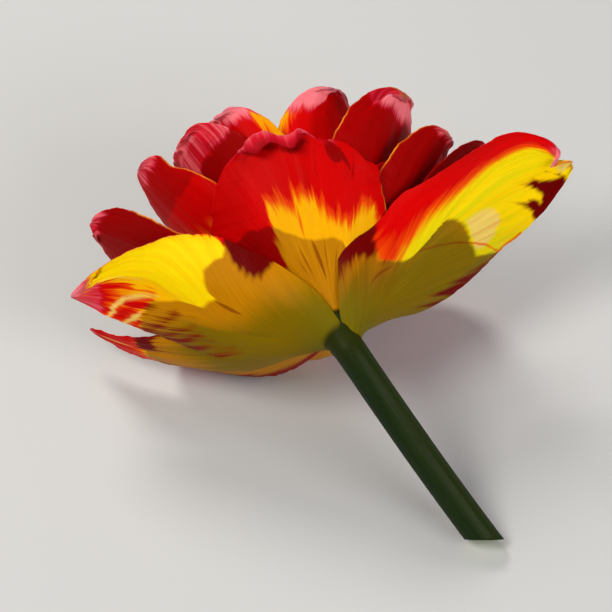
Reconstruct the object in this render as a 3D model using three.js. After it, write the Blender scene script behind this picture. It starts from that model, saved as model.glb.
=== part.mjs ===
// A cut double tulip lying on its side: a wide-open bloom of overlapping,
// gently waved petals on a bent stem with a slanted cut. Millimetres, +Z up.
// The lowest petals and the cut end of the stem rest on z = 0.

import * as THREE from 'three';

// ---------------------------------------------------------------------------
// Driving dimensions, in millimetres and degrees
// ---------------------------------------------------------------------------

const NECK = new THREE.Vector3(4.1, -10.14, 41); // where the stem becomes the bloom
const BLOOM_PITCH = 4; // how far the mouth rises above level
const BLOOM_HEADING = 11.6; // how far the mouth swings from +Y toward -X

const PETAL_THICKNESS = 0.6;
const SEAT_GAP = 0.35; // between a petal's claw and the stem's head
const FOOT_SHARE = 0.24; // share of a petal's length that its foot takes
const CURL_FROM = 0.75; // share of its length where its tip starts to curl
const WAVES_FROM = 0.12; // where its margins start to wave
const WAVES_FULL = 0.4; // and where the waves have their full height
const ROW_EASE = 0.5; // 0 spaces its rows evenly, 1 crowds them at the tip
const MIDRIB_STEPS = 120; // steps in which the midrib's course is summed

const STEM_RADIUS = 3.85;
const STEM_SIDES = 18;
const STEM_STEPS = 16;
const STEM_TAPER_SHARE = 0.25; // share of its length in which it reaches its radius
const STEM_REACH = new THREE.Vector3(36.75, -39.3, -38.05); // neck to the cut's centre
const STEM_START_PULL = 6; // how long the stem keeps the bloom's line
const STEM_END_PULL = 30; // how long it runs straight to the cut
const STEM_END_HEADING = new THREE.Vector3(0.6, -0.53, -0.6).normalize();
const CUT_NORMAL = new THREE.Vector3(0, -0.766, -0.643).normalize();

// The head that carries the petals, as [height above the neck, radius].
const HEAD_PROFILE = [
  [-8, 4.1],
  [-6.2, 4.5],
  [-4.4, 5.0],
  [-1.5, 5.1],
  [0.8, 4.9],
  [3.0, 4.5],
  [5.0, 4.1],
  [7.0, 3.7],
  [9.0, 3.4],
  [11.4, 3.2],
];

// Pistil and stamens, as [height above the head, radius, three-way lobing].
const PISTIL_PROFILE = [
  [0, 1.2, 0],
  [1.2, 1.6, 0.05],
  [5, 1.8, 0.08],
  [10, 1.75, 0.1],
  [13, 1.5, 0.12],
  [14, 1.9, 0.3],
  [15, 2.9, 0.35],
  [16.2, 2.7, 0.35],
  [16.8, 1.5, 0.2],
];
const PISTIL_SIDES = 18;
const STAMEN_PROFILE = [
  [0, 0.5],
  [3, 0.5],
  [5.6, 0.42],
  [6.2, 0.8],
  [8, 1.0],
  [11, 0.95],
  [13, 0.7],
  [13.8, 0.35],
];
const STAMEN_SIDES = 8;
const STAMEN_COUNT = 6;
const STAMEN_RING = 2.7; // how far their feet stand from the axis
const STAMEN_LEAN = 0.011; // how much they bend outward, per millimetre squared

// What a petal is unless its own row says otherwise. Angles are in degrees.
const PETAL = {
  grid: [10, 8], // quads along and across
  seat: 0, // height of its claw above the neck
  length: 60,
  width: 40,
  opening: [60, 50, 45, 45], // lean away from the axis, from claw to tip
  roll: [0, 0], // turn about the midrib, at claw and tip
  cup: [42, 36, 22], // turn of the margins toward the axis, claw to tip
  lean: 0, // share of the cup moved from one margin to the other
  claw: 8.6, // width where it is seated
  widest: 0.62, // where it is widest, as a share of its length
  fill: 1, // below 1 the sides swell out sooner above the claw
  skew: 0, // share by which the right half is wider than the left
  tip: 0.08, // width left at the tip, as a share of the widest
  round: 0.55, // 0.5 ends in a round tip, 1 in a pointed one
  drop: 0, // how much the tip line falls toward the margins
  tilt: 0, // how much it falls from the left margin to the right
  lobes: [0, 2, 0], // depth, number and phase of the tip line's lobes
  curl: 0, // extra turn away from the axis at the tip
  wave: [0, 2, 0, 90], // height, number and phases of the margin's waves
};

// Every petal, from the outermost whorl to the innermost.
const PETALS = [
  { name: 'outer_petal_left', turn: -98, seat: -3.6, length: 66.5, width: 34, claw: 15, grid: [12, 12],
    opening: [74, 64, 38, 74], roll: [22, 20], cup: [50, 42, 14], tip: 0.02, round: 1.1,
    widest: 0.48, fill: 0.6, skew: 0.36, lean: 0.3, wave: [0.8, 2, 0, 90] },
  { name: 'outer_petal_right', turn: 77, seat: -3, length: 71, width: 33, claw: 15.5, grid: [12, 12],
    opening: [56, 54, 44, 104], roll: [-20, -34], cup: [60, 42, 14], tip: 0.08, round: 0.8,
    widest: 0.5, fill: 0.75, skew: 0.1, lean: -0.2, wave: [1.1, 2, 120, 0] },
  { name: 'outer_petal_low_left', turn: -120, seat: -2.5, length: 73, width: 22, claw: 8,
    opening: [74, 71, 56, 38], roll: [6, 6], cup: [48, 24, 16], tip: 0.04, round: 1.2,
    widest: 0.45, skew: -0.3, wave: [0.5, 2, 0, 90] },
  { name: 'outer_petal_floor_left', turn: -138, seat: -0.9, length: 58, width: 32, claw: 8,
    opening: [66, 76, 76, 20], cup: [40, 26, 24], lean: 0.5 },
  { name: 'outer_petal_floor', turn: 192, seat: 0.0, length: 60, width: 29, claw: 6.4,
    opening: [64, 66, 76, 0], cup: [40, 14, 14] },
  { name: 'second_petal_low_right', turn: 130, seat: 0.9, length: 58, width: 36, claw: 6.4,
    opening: [58, 58, 50, 44], cup: [44, 34, 20], wave: [1.2, 2, 0, 180] },
  { name: 'second_petal_left', turn: -90, seat: 0.6, length: 65, width: 30, claw: 7,
    opening: [56, 53.5, 46, 48], roll: [4, 4], cup: [50, 28, 22], tip: 0.06, round: 0.65,
    widest: 0.72, fill: 2, skew: -0.2, wave: [1.0, 2, 40, 130] },
  { name: 'third_petal_top_right', turn: 58, seat: 5.9, length: 37, width: 18, claw: 3.6,
    opening: [37.4, 36.6, 36, 35], cup: [46, 44, 30] },
  { name: 'second_petal_top', turn: -11, seat: 2.95, length: 47.5, width: 49, grid: [12, 14],
    opening: [36, 36, 28, 24], cup: [50, 48, 18], tip: 0.6, drop: 0.12, tilt: 0.085,
    widest: 0.68, fill: 0.9, skew: -0.07, lobes: [0.024, 4, -144], curl: 14 },
  { name: 'second_petal_right', turn: 85, seat: 2.25, length: 60, width: 25, claw: 6.4,
    opening: [49, 47, 45, 44], roll: [-4, -8], cup: [46, 30, 22], skew: 0.1 },
  { name: 'third_petal_floor', turn: 172, seat: 3.0, length: 54, width: 36, claw: 7,
    opening: [52, 50, 44, 36], cup: [44, 34, 22], wave: [0.8, 2, 150, 20] },
  { name: 'third_petal_floor_left', turn: -131, seat: 4.0, length: 57, width: 34, claw: 6.4,
    opening: [48, 46, 42, 36], cup: [44, 34, 22], wave: [0.8, 2, 0, 180] },
  { name: 'third_petal_floor_right', turn: 138, seat: 3.8, length: 56, width: 33, claw: 6.4,
    opening: [46, 46, 42, 34], cup: [40, 30, 22], wave: [0.8, 2, 60, 200] },
  { name: 'fourth_petal_left', turn: -84, seat: 5.0, length: 61, width: 30, claw: 7,
    opening: [44, 41, 34, 30], roll: [6, 6], cup: [46, 38, 24], tip: 0.06, round: 0.6,
    fill: 1.4, skew: -0.1 },
  { name: 'fourth_petal_right', turn: 73, seat: 4.8, length: 53.5, width: 26, claw: 7,
    opening: [43.5, 41, 40, 38], roll: [-6, -8], cup: [46, 40, 24] },
  { name: 'fifth_petal_left', turn: -74, seat: 6.2, length: 57, width: 37, claw: 6.4,
    opening: [33, 31, 27, 20], cup: [46, 56, 28], tip: 0.3, round: 0.6 },
  { name: 'fifth_petal_right', turn: 59, seat: 6.95, length: 56, width: 36, claw: 6.4,
    opening: [33, 33, 31.5, 28], cup: [46, 56, 28] },
  { name: 'fifth_petal_floor', turn: -178, seat: 5.3, length: 54, width: 34, claw: 6.4,
    opening: [34, 34, 30, 24], cup: [46, 56, 30] },
  { name: 'sixth_petal_top_left', turn: -48, seat: 7.9, length: 54.5, width: 27, claw: 5.6,
    opening: [26, 26, 24, 22], cup: [50, 72, 34] },
  { name: 'sixth_petal_floor_left', turn: -141, seat: 9.2, length: 50, width: 27, claw: 5.6,
    opening: [28, 24, 20, 18], cup: [60, 82, 44] },
  { name: 'sixth_petal_floor_right', turn: 124, seat: 8.15, length: 50, width: 29, claw: 5.6,
    opening: [30, 26, 22, 20], cup: [60, 74, 40] },
  { name: 'inner_petal_top', turn: 36, seat: 9.6, length: 54.5, width: 34, claw: 5.4,
    opening: [24, 16, 12, 12], cup: [60, 84, 30] },
  { name: 'inner_petal_floor', turn: 164, seat: 10.7, length: 46, width: 24, claw: 5,
    opening: [21, 12, 10, 12], cup: [60, 74, 40] },
  { name: 'inner_petal_left', turn: -82, seat: 11.6, length: 44, width: 22, claw: 4.6,
    opening: [22, 12, 8, 10], cup: [60, 92, 46] },
];

// ---------------------------------------------------------------------------
// Small helpers
// ---------------------------------------------------------------------------

const radians = THREE.MathUtils.degToRad;
const smooth = (x, from, to) => THREE.MathUtils.smoothstep(x, from, to);

// A Bezier blend of a few control values.
function blend(values, t) {
  let row = values.slice();
  while (row.length > 1) {
    row = row.slice(1).map((value, i) => THREE.MathUtils.lerp(row[i], value, t));
  }
  return row[0];
}

// A value read off a list of [position, value] pairs.
function readProfile(profile, at) {
  const last = profile.length - 1;
  if (at <= profile[0][0]) return profile[0][1];
  if (at >= profile[last][0]) return profile[last][1];
  const i = profile.findIndex(([position]) => position > at);
  const [from, low] = profile[i - 1];
  const [to, high] = profile[i];
  return THREE.MathUtils.mapLinear(at, from, to, low, high);
}

// ---------------------------------------------------------------------------
// A petal
// ---------------------------------------------------------------------------

const bloomTurn = new THREE.Matrix4().makeRotationZ(radians(BLOOM_HEADING))
  .multiply(new THREE.Matrix4().makeRotationX(radians(BLOOM_PITCH - 90)));
const worldUp = new THREE.Vector3(0, 0, 1).transformDirection(bloomTurn.clone().transpose());

// How far a petal's seat lies from the axis.
function ringOf(petal) {
  return readProfile(HEAD_PROFILE, petal.seat) + SEAT_GAP + PETAL_THICKNESS / 2;
}

// The midrib's course: points and headings at even steps from claw to tip.
function midribOf(petal) {
  const turn = radians(petal.turn);
  const outward = new THREE.Vector3(Math.sin(turn), -Math.cos(turn), 0);
  const sideways = new THREE.Vector3(Math.cos(turn), Math.sin(turn), 0);
  const axis = new THREE.Vector3(0, 0, 1);
  const headings = [];
  const points = [outward.clone().multiplyScalar(ringOf(petal)).addScaledVector(axis, petal.seat)];
  for (let i = 0; i <= MIDRIB_STEPS; i += 1) {
    const s = i / MIDRIB_STEPS;
    const open = radians(blend(petal.opening, s) + petal.curl * smooth(s, CURL_FROM, 1));
    headings.push(new THREE.Vector3()
      .addScaledVector(axis, Math.cos(open))
      .addScaledVector(outward, Math.sin(open)));
  }
  for (let i = 1; i <= MIDRIB_STEPS; i += 1) {
    const mean = headings[i].clone().add(headings[i - 1]).divideScalar(2);
    points.push(points[i - 1].clone().addScaledVector(mean, petal.length / MIDRIB_STEPS));
  }
  const read = (list, s) => {
    const at = Math.min(s, 1) * MIDRIB_STEPS;
    const i = Math.min(Math.floor(at), MIDRIB_STEPS - 1);
    return list[i].clone().lerp(list[i + 1], at - i);
  };
  return {
    sideways,
    pointAt: (s) => read(points, s),
    headingAt: (s) => read(headings, s).normalize(),
  };
}

// Half the width at row p, from 0 at the claw to 1 at the tip.
function halfWidth(petal, p) {
  const half = petal.width / 2;
  if (p < petal.widest) {
    const x = p / petal.widest;
    const swell = Math.sin((x * Math.PI) / 2) ** petal.fill;
    return THREE.MathUtils.lerp(petal.claw / 2, half, swell);
  }
  const y = (p - petal.widest) / (1 - petal.widest);
  return half * (petal.tip + (1 - petal.tip) * Math.max(0, 1 - y * y) ** petal.round);
}

// How far column v (-1 to 1) reaches along the midrib, as a share of its length.
function reachOf(petal, v) {
  const [depth, count, phase] = petal.lobes;
  const lobe = Math.cos(count * Math.PI * v + radians(phase)) - Math.cos(radians(phase));
  return 1 - petal.drop * v * v - petal.tilt * (v + 1) + depth * lobe;
}

// A point of the free blade, before its foot is drawn round the stem's head.
function bladePoint(petal, midrib, p, v) {
  const s = THREE.MathUtils.clamp(p * reachOf(petal, v), 0, 1);
  const heading = midrib.headingAt(s);
  const level = midrib.sideways.clone();
  level.addScaledVector(heading, -level.dot(heading)).normalize();
  const inward = new THREE.Vector3().crossVectors(heading, level);
  const roll = radians(THREE.MathUtils.lerp(petal.roll[0], petal.roll[1], s));
  const across = level.clone().multiplyScalar(Math.cos(roll)).addScaledVector(inward, Math.sin(roll));
  const rise = inward.clone().multiplyScalar(Math.cos(roll)).addScaledVector(level, -Math.sin(roll));

  // Each half of the section is an arc that turns by the cup from midrib to margin.
  const side = Math.sign(v);
  const cup = radians(blend(petal.cup, s) * (1 + petal.lean * side));
  const flat = Math.sin(cup * Math.abs(v)) / cup;
  const lift = (1 - Math.cos(cup * v)) / cup;

  const [height, count, leftPhase, rightPhase] = petal.wave;
  const phase = radians(v > 0 ? rightPhase : leftPhase);
  const swing = Math.sin(2 * Math.PI * count * s + phase);
  const wave = height * Math.abs(v) ** 3 * smooth(s, WAVES_FROM, WAVES_FULL) * swing;

  const half = halfWidth(petal, p) * (1 + petal.skew * side);
  return midrib.pointAt(s)
    .addScaledVector(across, half * side * flat)
    .addScaledVector(rise, half * lift + wave);
}

// A point of the petal's middle surface: its foot follows the head round.
function petalPoint(petal, midrib, p, v) {
  const ring = ringOf(petal);
  const turn = radians(petal.turn) + (v * petal.claw * (1 + petal.skew * Math.sign(v))) / 2 / ring;
  const seat = new THREE.Vector3(ring * Math.sin(turn), -ring * Math.cos(turn), petal.seat);
  const free = seat.sub(bladePoint(petal, midrib, 0, v)).multiplyScalar(1 - smooth(p, 0, FOOT_SHARE));
  const point = bladePoint(petal, midrib, p, v).add(free);

  // The floor holds it up.
  const above = point.dot(worldUp) + NECK.z - PETAL_THICKNESS / 2;
  return point.addScaledVector(worldUp, Math.max(0, -above));
}

// The closed blade round that surface, both faces split into triangles alike.
function petalGeometry(petal) {
  const midrib = midribOf(petal);
  const [rowQuads, columnQuads] = petal.grid;
  const rows = rowQuads + 1;
  const columns = columnQuads + 1;
  const middle = [];
  for (let i = 0; i < rows; i += 1) {
    const even = i / rowQuads;
    const p = THREE.MathUtils.lerp(even, Math.sin((even * Math.PI) / 2), ROW_EASE);
    for (let j = 0; j < columns; j += 1) {
      middle.push(petalPoint(petal, midrib, p, (2 * j) / columnQuads - 1));
    }
  }
  const at = (i, j) => middle[i * columns + j];
  const positions = [];
  for (const face of [1, -1]) {
    for (let i = 0; i < rows; i += 1) {
      for (let j = 0; j < columns; j += 1) {
        const along = at(Math.min(i + 1, rows - 1), j).clone().sub(at(Math.max(i - 1, 0), j));
        const across = at(i, Math.min(j + 1, columns - 1)).clone().sub(at(i, Math.max(j - 1, 0)));
        const normal = new THREE.Vector3().crossVectors(along, across).normalize();
        const point = at(i, j).clone().addScaledVector(normal, (face * PETAL_THICKNESS) / 2);
        positions.push(point.x, point.y, point.z);
      }
    }
  }
  const count = rows * columns;
  const faces = [];
  for (let i = 0; i < rows - 1; i += 1) {
    for (let j = 0; j < columns - 1; j += 1) {
      const a = i * columns + j;
      const b = a + columns;
      faces.push(a, b, b + 1, a, b + 1, a + 1);
      faces.push(count + a, count + b + 1, count + b, count + a, count + a + 1, count + b + 1);
    }
  }
  const rim = [];
  for (let i = 0; i < rows; i += 1) rim.push(i * columns);
  for (let j = 1; j < columns; j += 1) rim.push((rows - 1) * columns + j);
  for (let i = rows - 2; i >= 0; i -= 1) rim.push(i * columns + columns - 1);
  for (let j = columns - 2; j > 0; j -= 1) rim.push(j);
  rim.forEach((c, k) => {
    const d = rim[(k + 1) % rim.length];
    faces.push(c, count + c, count + d, c, count + d, d);
  });
  const geometry = new THREE.BufferGeometry();
  geometry.setAttribute('position', new THREE.Float32BufferAttribute(positions, 3));
  geometry.setIndex(faces);
  geometry.computeVertexNormals();
  return geometry;
}

// ---------------------------------------------------------------------------
// Stem, pistil and stamens: rings of points joined into one closed body
// ---------------------------------------------------------------------------

// A ring has a centre, a heading and a radius; lobes make it wavy round.
function loft(rings, sides, shapePoint = (point) => point) {
  const positions = [];
  const side = new THREE.Vector3(1, 0, 0);
  const other = new THREE.Vector3();
  rings.forEach((ring, index) => {
    // One side vector is carried along, so that the body doesn't twist.
    side.addScaledVector(ring.heading, -side.dot(ring.heading)).normalize();
    other.crossVectors(ring.heading, side);
    for (let j = 0; j < sides; j += 1) {
      const angle = (2 * Math.PI * j) / sides;
      const radius = ring.radius * (1 + (ring.lobing ?? 0) * Math.cos(3 * angle));
      const point = ring.centre.clone()
        .addScaledVector(side, radius * Math.cos(angle))
        .addScaledVector(other, radius * Math.sin(angle));
      positions.push(...shapePoint(point, index).toArray());
    }
  });
  const faces = [];
  for (let i = 0; i < rings.length - 1; i += 1) {
    for (let j = 0; j < sides; j += 1) {
      const a = i * sides + j;
      const b = i * sides + ((j + 1) % sides);
      faces.push(a, b + sides, a + sides, a, b, b + sides);
    }
  }
  const last = (rings.length - 1) * sides;
  const start = positions.length / 3;
  positions.push(...shapePoint(rings[0].centre.clone(), 0).toArray());
  positions.push(...shapePoint(rings.at(-1).centre.clone(), rings.length - 1).toArray());
  for (let j = 0; j < sides; j += 1) {
    const next = (j + 1) % sides;
    faces.push(start, next, j);
    faces.push(start + 1, last + j, last + next);
  }
  const geometry = new THREE.BufferGeometry();
  geometry.setAttribute('position', new THREE.Float32BufferAttribute(positions, 3));
  geometry.setIndex(faces);
  geometry.computeVertexNormals();
  return geometry;
}

// The stem in world directions, with the neck at its origin.
function stemGeometry() {
  const axis = new THREE.Vector3(0, 0, 1).transformDirection(bloomTurn);
  const start = axis.clone().multiplyScalar(HEAD_PROFILE[0][0]);
  const path = new THREE.CubicBezierCurve3(
    start,
    start.clone().addScaledVector(axis, -STEM_START_PULL),
    STEM_REACH.clone().addScaledVector(STEM_END_HEADING, -STEM_END_PULL),
    STEM_REACH,
  );
  const head = HEAD_PROFILE.slice(1).reverse().map(([height, radius]) => ({
    centre: axis.clone().multiplyScalar(height),
    heading: axis.clone().negate(),
    radius,
  }));
  const shaft = Array.from({ length: STEM_STEPS + 1 }, (_, i) => {
    const t = i / STEM_STEPS;
    return {
      centre: path.getPoint(t),
      heading: path.getTangent(t).normalize(),
      radius: THREE.MathUtils.lerp(HEAD_PROFILE[0][1], STEM_RADIUS, Math.min(1, t / STEM_TAPER_SHARE)),
    };
  });
  const rings = [...head, ...shaft];
  const cutAndRest = (point, index) => {
    if (index === rings.length - 1) {
      const off = point.clone().sub(STEM_REACH).dot(CUT_NORMAL);
      point.addScaledVector(STEM_END_HEADING, -off / STEM_END_HEADING.dot(CUT_NORMAL));
    }
    point.z = Math.max(point.z, -NECK.z);
    return point;
  };
  return loft(rings, STEM_SIDES, cutAndRest);
}

// A body of rings along the bloom's axis, from [height, radius, lobing] rows.
function axialRings(profile, lean = new THREE.Vector3()) {
  return profile.map(([height, radius, lobing]) => ({
    centre: new THREE.Vector3(0, 0, height).addScaledVector(lean, height ** 2),
    heading: new THREE.Vector3(0, 0, 1),
    radius,
    lobing,
  }));
}

// ---------------------------------------------------------------------------
// The flower
// ---------------------------------------------------------------------------

const material = (color, roughness) => new THREE.MeshStandardMaterial({ color, roughness, metalness: 0 });
const petalMaterial = material(0xc81414, 0.45);
const stemMaterial = material(0x5d7a2c, 0.5);
const pistilMaterial = material(0xa8b85a, 0.5);
const stamenMaterial = material(0x3a2418, 0.8);

const flower = new THREE.Group();
const bloom = new THREE.Group();
bloom.applyMatrix4(bloomTurn);
bloom.position.copy(NECK);
flower.add(bloom);

for (const row of PETALS) {
  const petal = { ...PETAL, ...row };
  const mesh = new THREE.Mesh(petalGeometry(petal), petalMaterial);
  mesh.name = petal.name;
  bloom.add(mesh);
}

const headTop = HEAD_PROFILE.at(-1)[0] + SEAT_GAP;

const pistil = new THREE.Mesh(loft(axialRings(PISTIL_PROFILE), PISTIL_SIDES), pistilMaterial);
pistil.name = 'pistil';
pistil.position.z = headTop;
bloom.add(pistil);

for (let i = 0; i < STAMEN_COUNT; i += 1) {
  const angle = (2 * Math.PI * (i + 0.5)) / STAMEN_COUNT;
  const outward = new THREE.Vector3(Math.cos(angle), Math.sin(angle), 0);
  const lean = outward.clone().multiplyScalar(STAMEN_LEAN);
  const stamen = new THREE.Mesh(loft(axialRings(STAMEN_PROFILE, lean), STAMEN_SIDES), stamenMaterial);
  stamen.name = `stamen_${i + 1}`;
  stamen.position.copy(outward).multiplyScalar(STAMEN_RING).setZ(headTop);
  bloom.add(stamen);
}

const stem = new THREE.Mesh(stemGeometry(), stemMaterial);
stem.name = 'stem';
stem.position.copy(NECK);
flower.add(stem);

export default flower;
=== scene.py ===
"""A cut double tulip, lying down: its finer pieces, finish, light and camera.

Every petal, the stem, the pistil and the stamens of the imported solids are
replaced by finer pieces with the same form, built from the same sizes. Sizes
are in millimetres and degrees until a mesh is made.
"""

import math

import bpy
import numpy as np
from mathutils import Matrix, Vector


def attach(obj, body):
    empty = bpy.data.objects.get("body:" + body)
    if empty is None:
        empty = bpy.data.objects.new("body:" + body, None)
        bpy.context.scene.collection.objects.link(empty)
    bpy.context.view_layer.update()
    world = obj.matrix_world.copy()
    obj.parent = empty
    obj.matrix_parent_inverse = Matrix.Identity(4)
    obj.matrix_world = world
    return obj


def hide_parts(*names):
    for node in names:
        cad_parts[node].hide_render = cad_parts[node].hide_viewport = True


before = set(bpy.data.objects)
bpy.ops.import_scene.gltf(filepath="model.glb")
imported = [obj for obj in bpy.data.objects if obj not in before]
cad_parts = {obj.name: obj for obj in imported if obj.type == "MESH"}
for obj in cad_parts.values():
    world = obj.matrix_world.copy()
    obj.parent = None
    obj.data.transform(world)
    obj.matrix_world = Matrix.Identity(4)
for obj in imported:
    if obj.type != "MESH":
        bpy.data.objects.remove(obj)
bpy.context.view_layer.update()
BODY = "root"
MM = 0.001

# --- Sizes ---

NECK = np.array([4.1, -10.14, 41.0])  # where the stem becomes the bloom
BLOOM_PITCH = 4  # degrees that the bloom's mouth points upward
BLOOM_HEADING = 11.6  # and to the left

PETAL_THICKNESS = 0.6
RIM_THICKNESS = 0.3  # at a petal's margin
RIM_TAPER = 5.0  # how far in from the margin it grows to full thickness
SEAT_GAP = 0.35  # between the head and a petal's inside face
FOOT_SHARE = 0.24  # how much of a blade bends round the head
CURL_FROM = 0.75  # where along the blade its curl sets in
WAVES_RISE = (0.12, 0.4)  # where along the blade the margins' waves grow
WAVES_POWER = 3  # how near to the margins they stay
ROW_EASE = 0.5  # how much closer the mesh's rows are at the tip
MIDRIB_STEPS = 120
TINY = 1e-9  # keeps a divisor above nothing
ALL_ACROSS = (-2, -1, 1, 2)  # for a rim that rolls over the whole blade

SEED_STEP = 20  # from one petal's random lines to the next one's
# What is added to a petal's seed for each of its lines.
MARGIN_SEED = 3
RUFFLE_SEED = 7
FLUTE_SEED = 11
SIDE_SHIFT = 3  # keeps the two margins' lines apart

# Relief that is finer than the solids. Each RISE and FALL says where along the
# blade, from 0 at the claw to 1 at the tip, its relief grows or fades.
FLUTE_HEIGHT = 0.16  # of the broad flutes between the veins
FLUTE_COUNT = 9
FLUTE_SPREAD = 0.3  # how much they spread toward the tip
FLUTE_RISE = (0.1, 0.4)
GROOVE_DEPTH = 0.3  # along the midrib
GROOVE_WIDTH = 1.1
GROOVE_RISE = (0.02, 0.2)
GROOVE_FALL = (0.7, 1)
TIP_WANDER = 0.011  # of the tip line, as a share of the length
TIP_WANDERS = 9
TIP_RISE = (0.5, 1)
MARGIN_WANDER = 0.014  # of the margins, as a share of the width
MARGIN_WANDERS = 26
MARGIN_RISE = (0.2, 0.5)
CORNER_CURVE = 1.5  # how soon a corner's cut bends away from the tip line
RUFFLE_HEIGHT = 0.28
RUFFLE_COUNT = 6.5
RUFFLE_RISE = (0.2, 0.6)
RUFFLE_POWER = 6  # how near to the margins they stay
HANG_SWAY = 0.3  # how much the lower edge of a rolled rim sways
HANG_WAVES = 11.4

# The sweep of a blade's base down into the stem.
FOOT_ROWS = 26
FOOT_END = 0.12  # where along the blade it ends
FOOT_STEP = 0.01  # the step past there that shows which way the blade leaves
FOOT_THICKNESS = 0.12  # at its lower edge
FOOT_THINS_FROM = 4  # how far up the blade it begins to thin
FOOT_SINK = 0.12  # how deep its lower edge lies in the stem's skin
FOOT_PULL = 0.8  # how long it keeps to the stem

NECK_BEND = 0.05  # how much the stem bends to the side, per millimetre squared
NECK_BEND_FROM = -4.0  # the height on the bloom's axis below which it bends

# The head's heights on the bloom's axis and its radii there.
HEAD_PROFILE = [
    (-8, 4.1), (-6.2, 4.3), (-4.4, 4.65), (-1.5, 5.1), (0.8, 4.9),
    (3.0, 4.5), (5.0, 4.1), (7.0, 3.7), (9.0, 3.4), (11.4, 3.2),
]

# What a petal is unless its own row says otherwise. A place on a blade is
# (p, v): p runs from 0 at the claw to 1 at the tip, v across it from -1 to 1.
PETAL = {
    "grid": (84, 64),  # faces along it and across it
    "seat": 0,  # the claw's height on the bloom's axis
    "length": 60,
    "width": 40,
    "opening": (60, 50, 45, 45),  # degrees from the bloom's axis, from claw to tip
    "roll": (0, 0),  # degrees it turns about its midrib, at the claw and at the tip
    "cup": (42, 36, 22),  # degrees of its arch from midrib to margin, from claw to tip
    "lean": 0,  # how much more the half above v = 0 is cupped
    "claw": 8.6,  # its width at the seat
    "widest": 0.62,
    "fill": 1,  # how late it widens below there
    "skew": 0,  # how much wider the half above v = 0 is
    "tip": 0.08,  # how much of the width is left at the tip
    "round": 0.55,  # how early it narrows toward the tip
    "drop": 0,  # how much sooner it ends at the margins
    "tilt": 0,  # how much sooner it ends where v is higher
    "lobes": (0, 2, 0),  # the tip line's waves: height, count and phase
    "curl": 0,  # degrees that its last part bends outward
    "wave": (0, 2, 0, 90),  # the margins' waves: height, count and both phases
    "foot": 0,  # how far it runs on down the stem below its seat
    "rolled": (1, 1, 0, ALL_ACROSS),  # see rolled_rim
    "swells": [],  # of its margins: each one's side, place, length and share
    "cut": (1, 0, 0),  # of a corner of the tip: its side, start and depth
    "notches": [],  # of the tip line: each one's place across the blade, width and depth
    "hang": 0,  # how far a rolled rim hangs down past its roll
}

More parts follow.
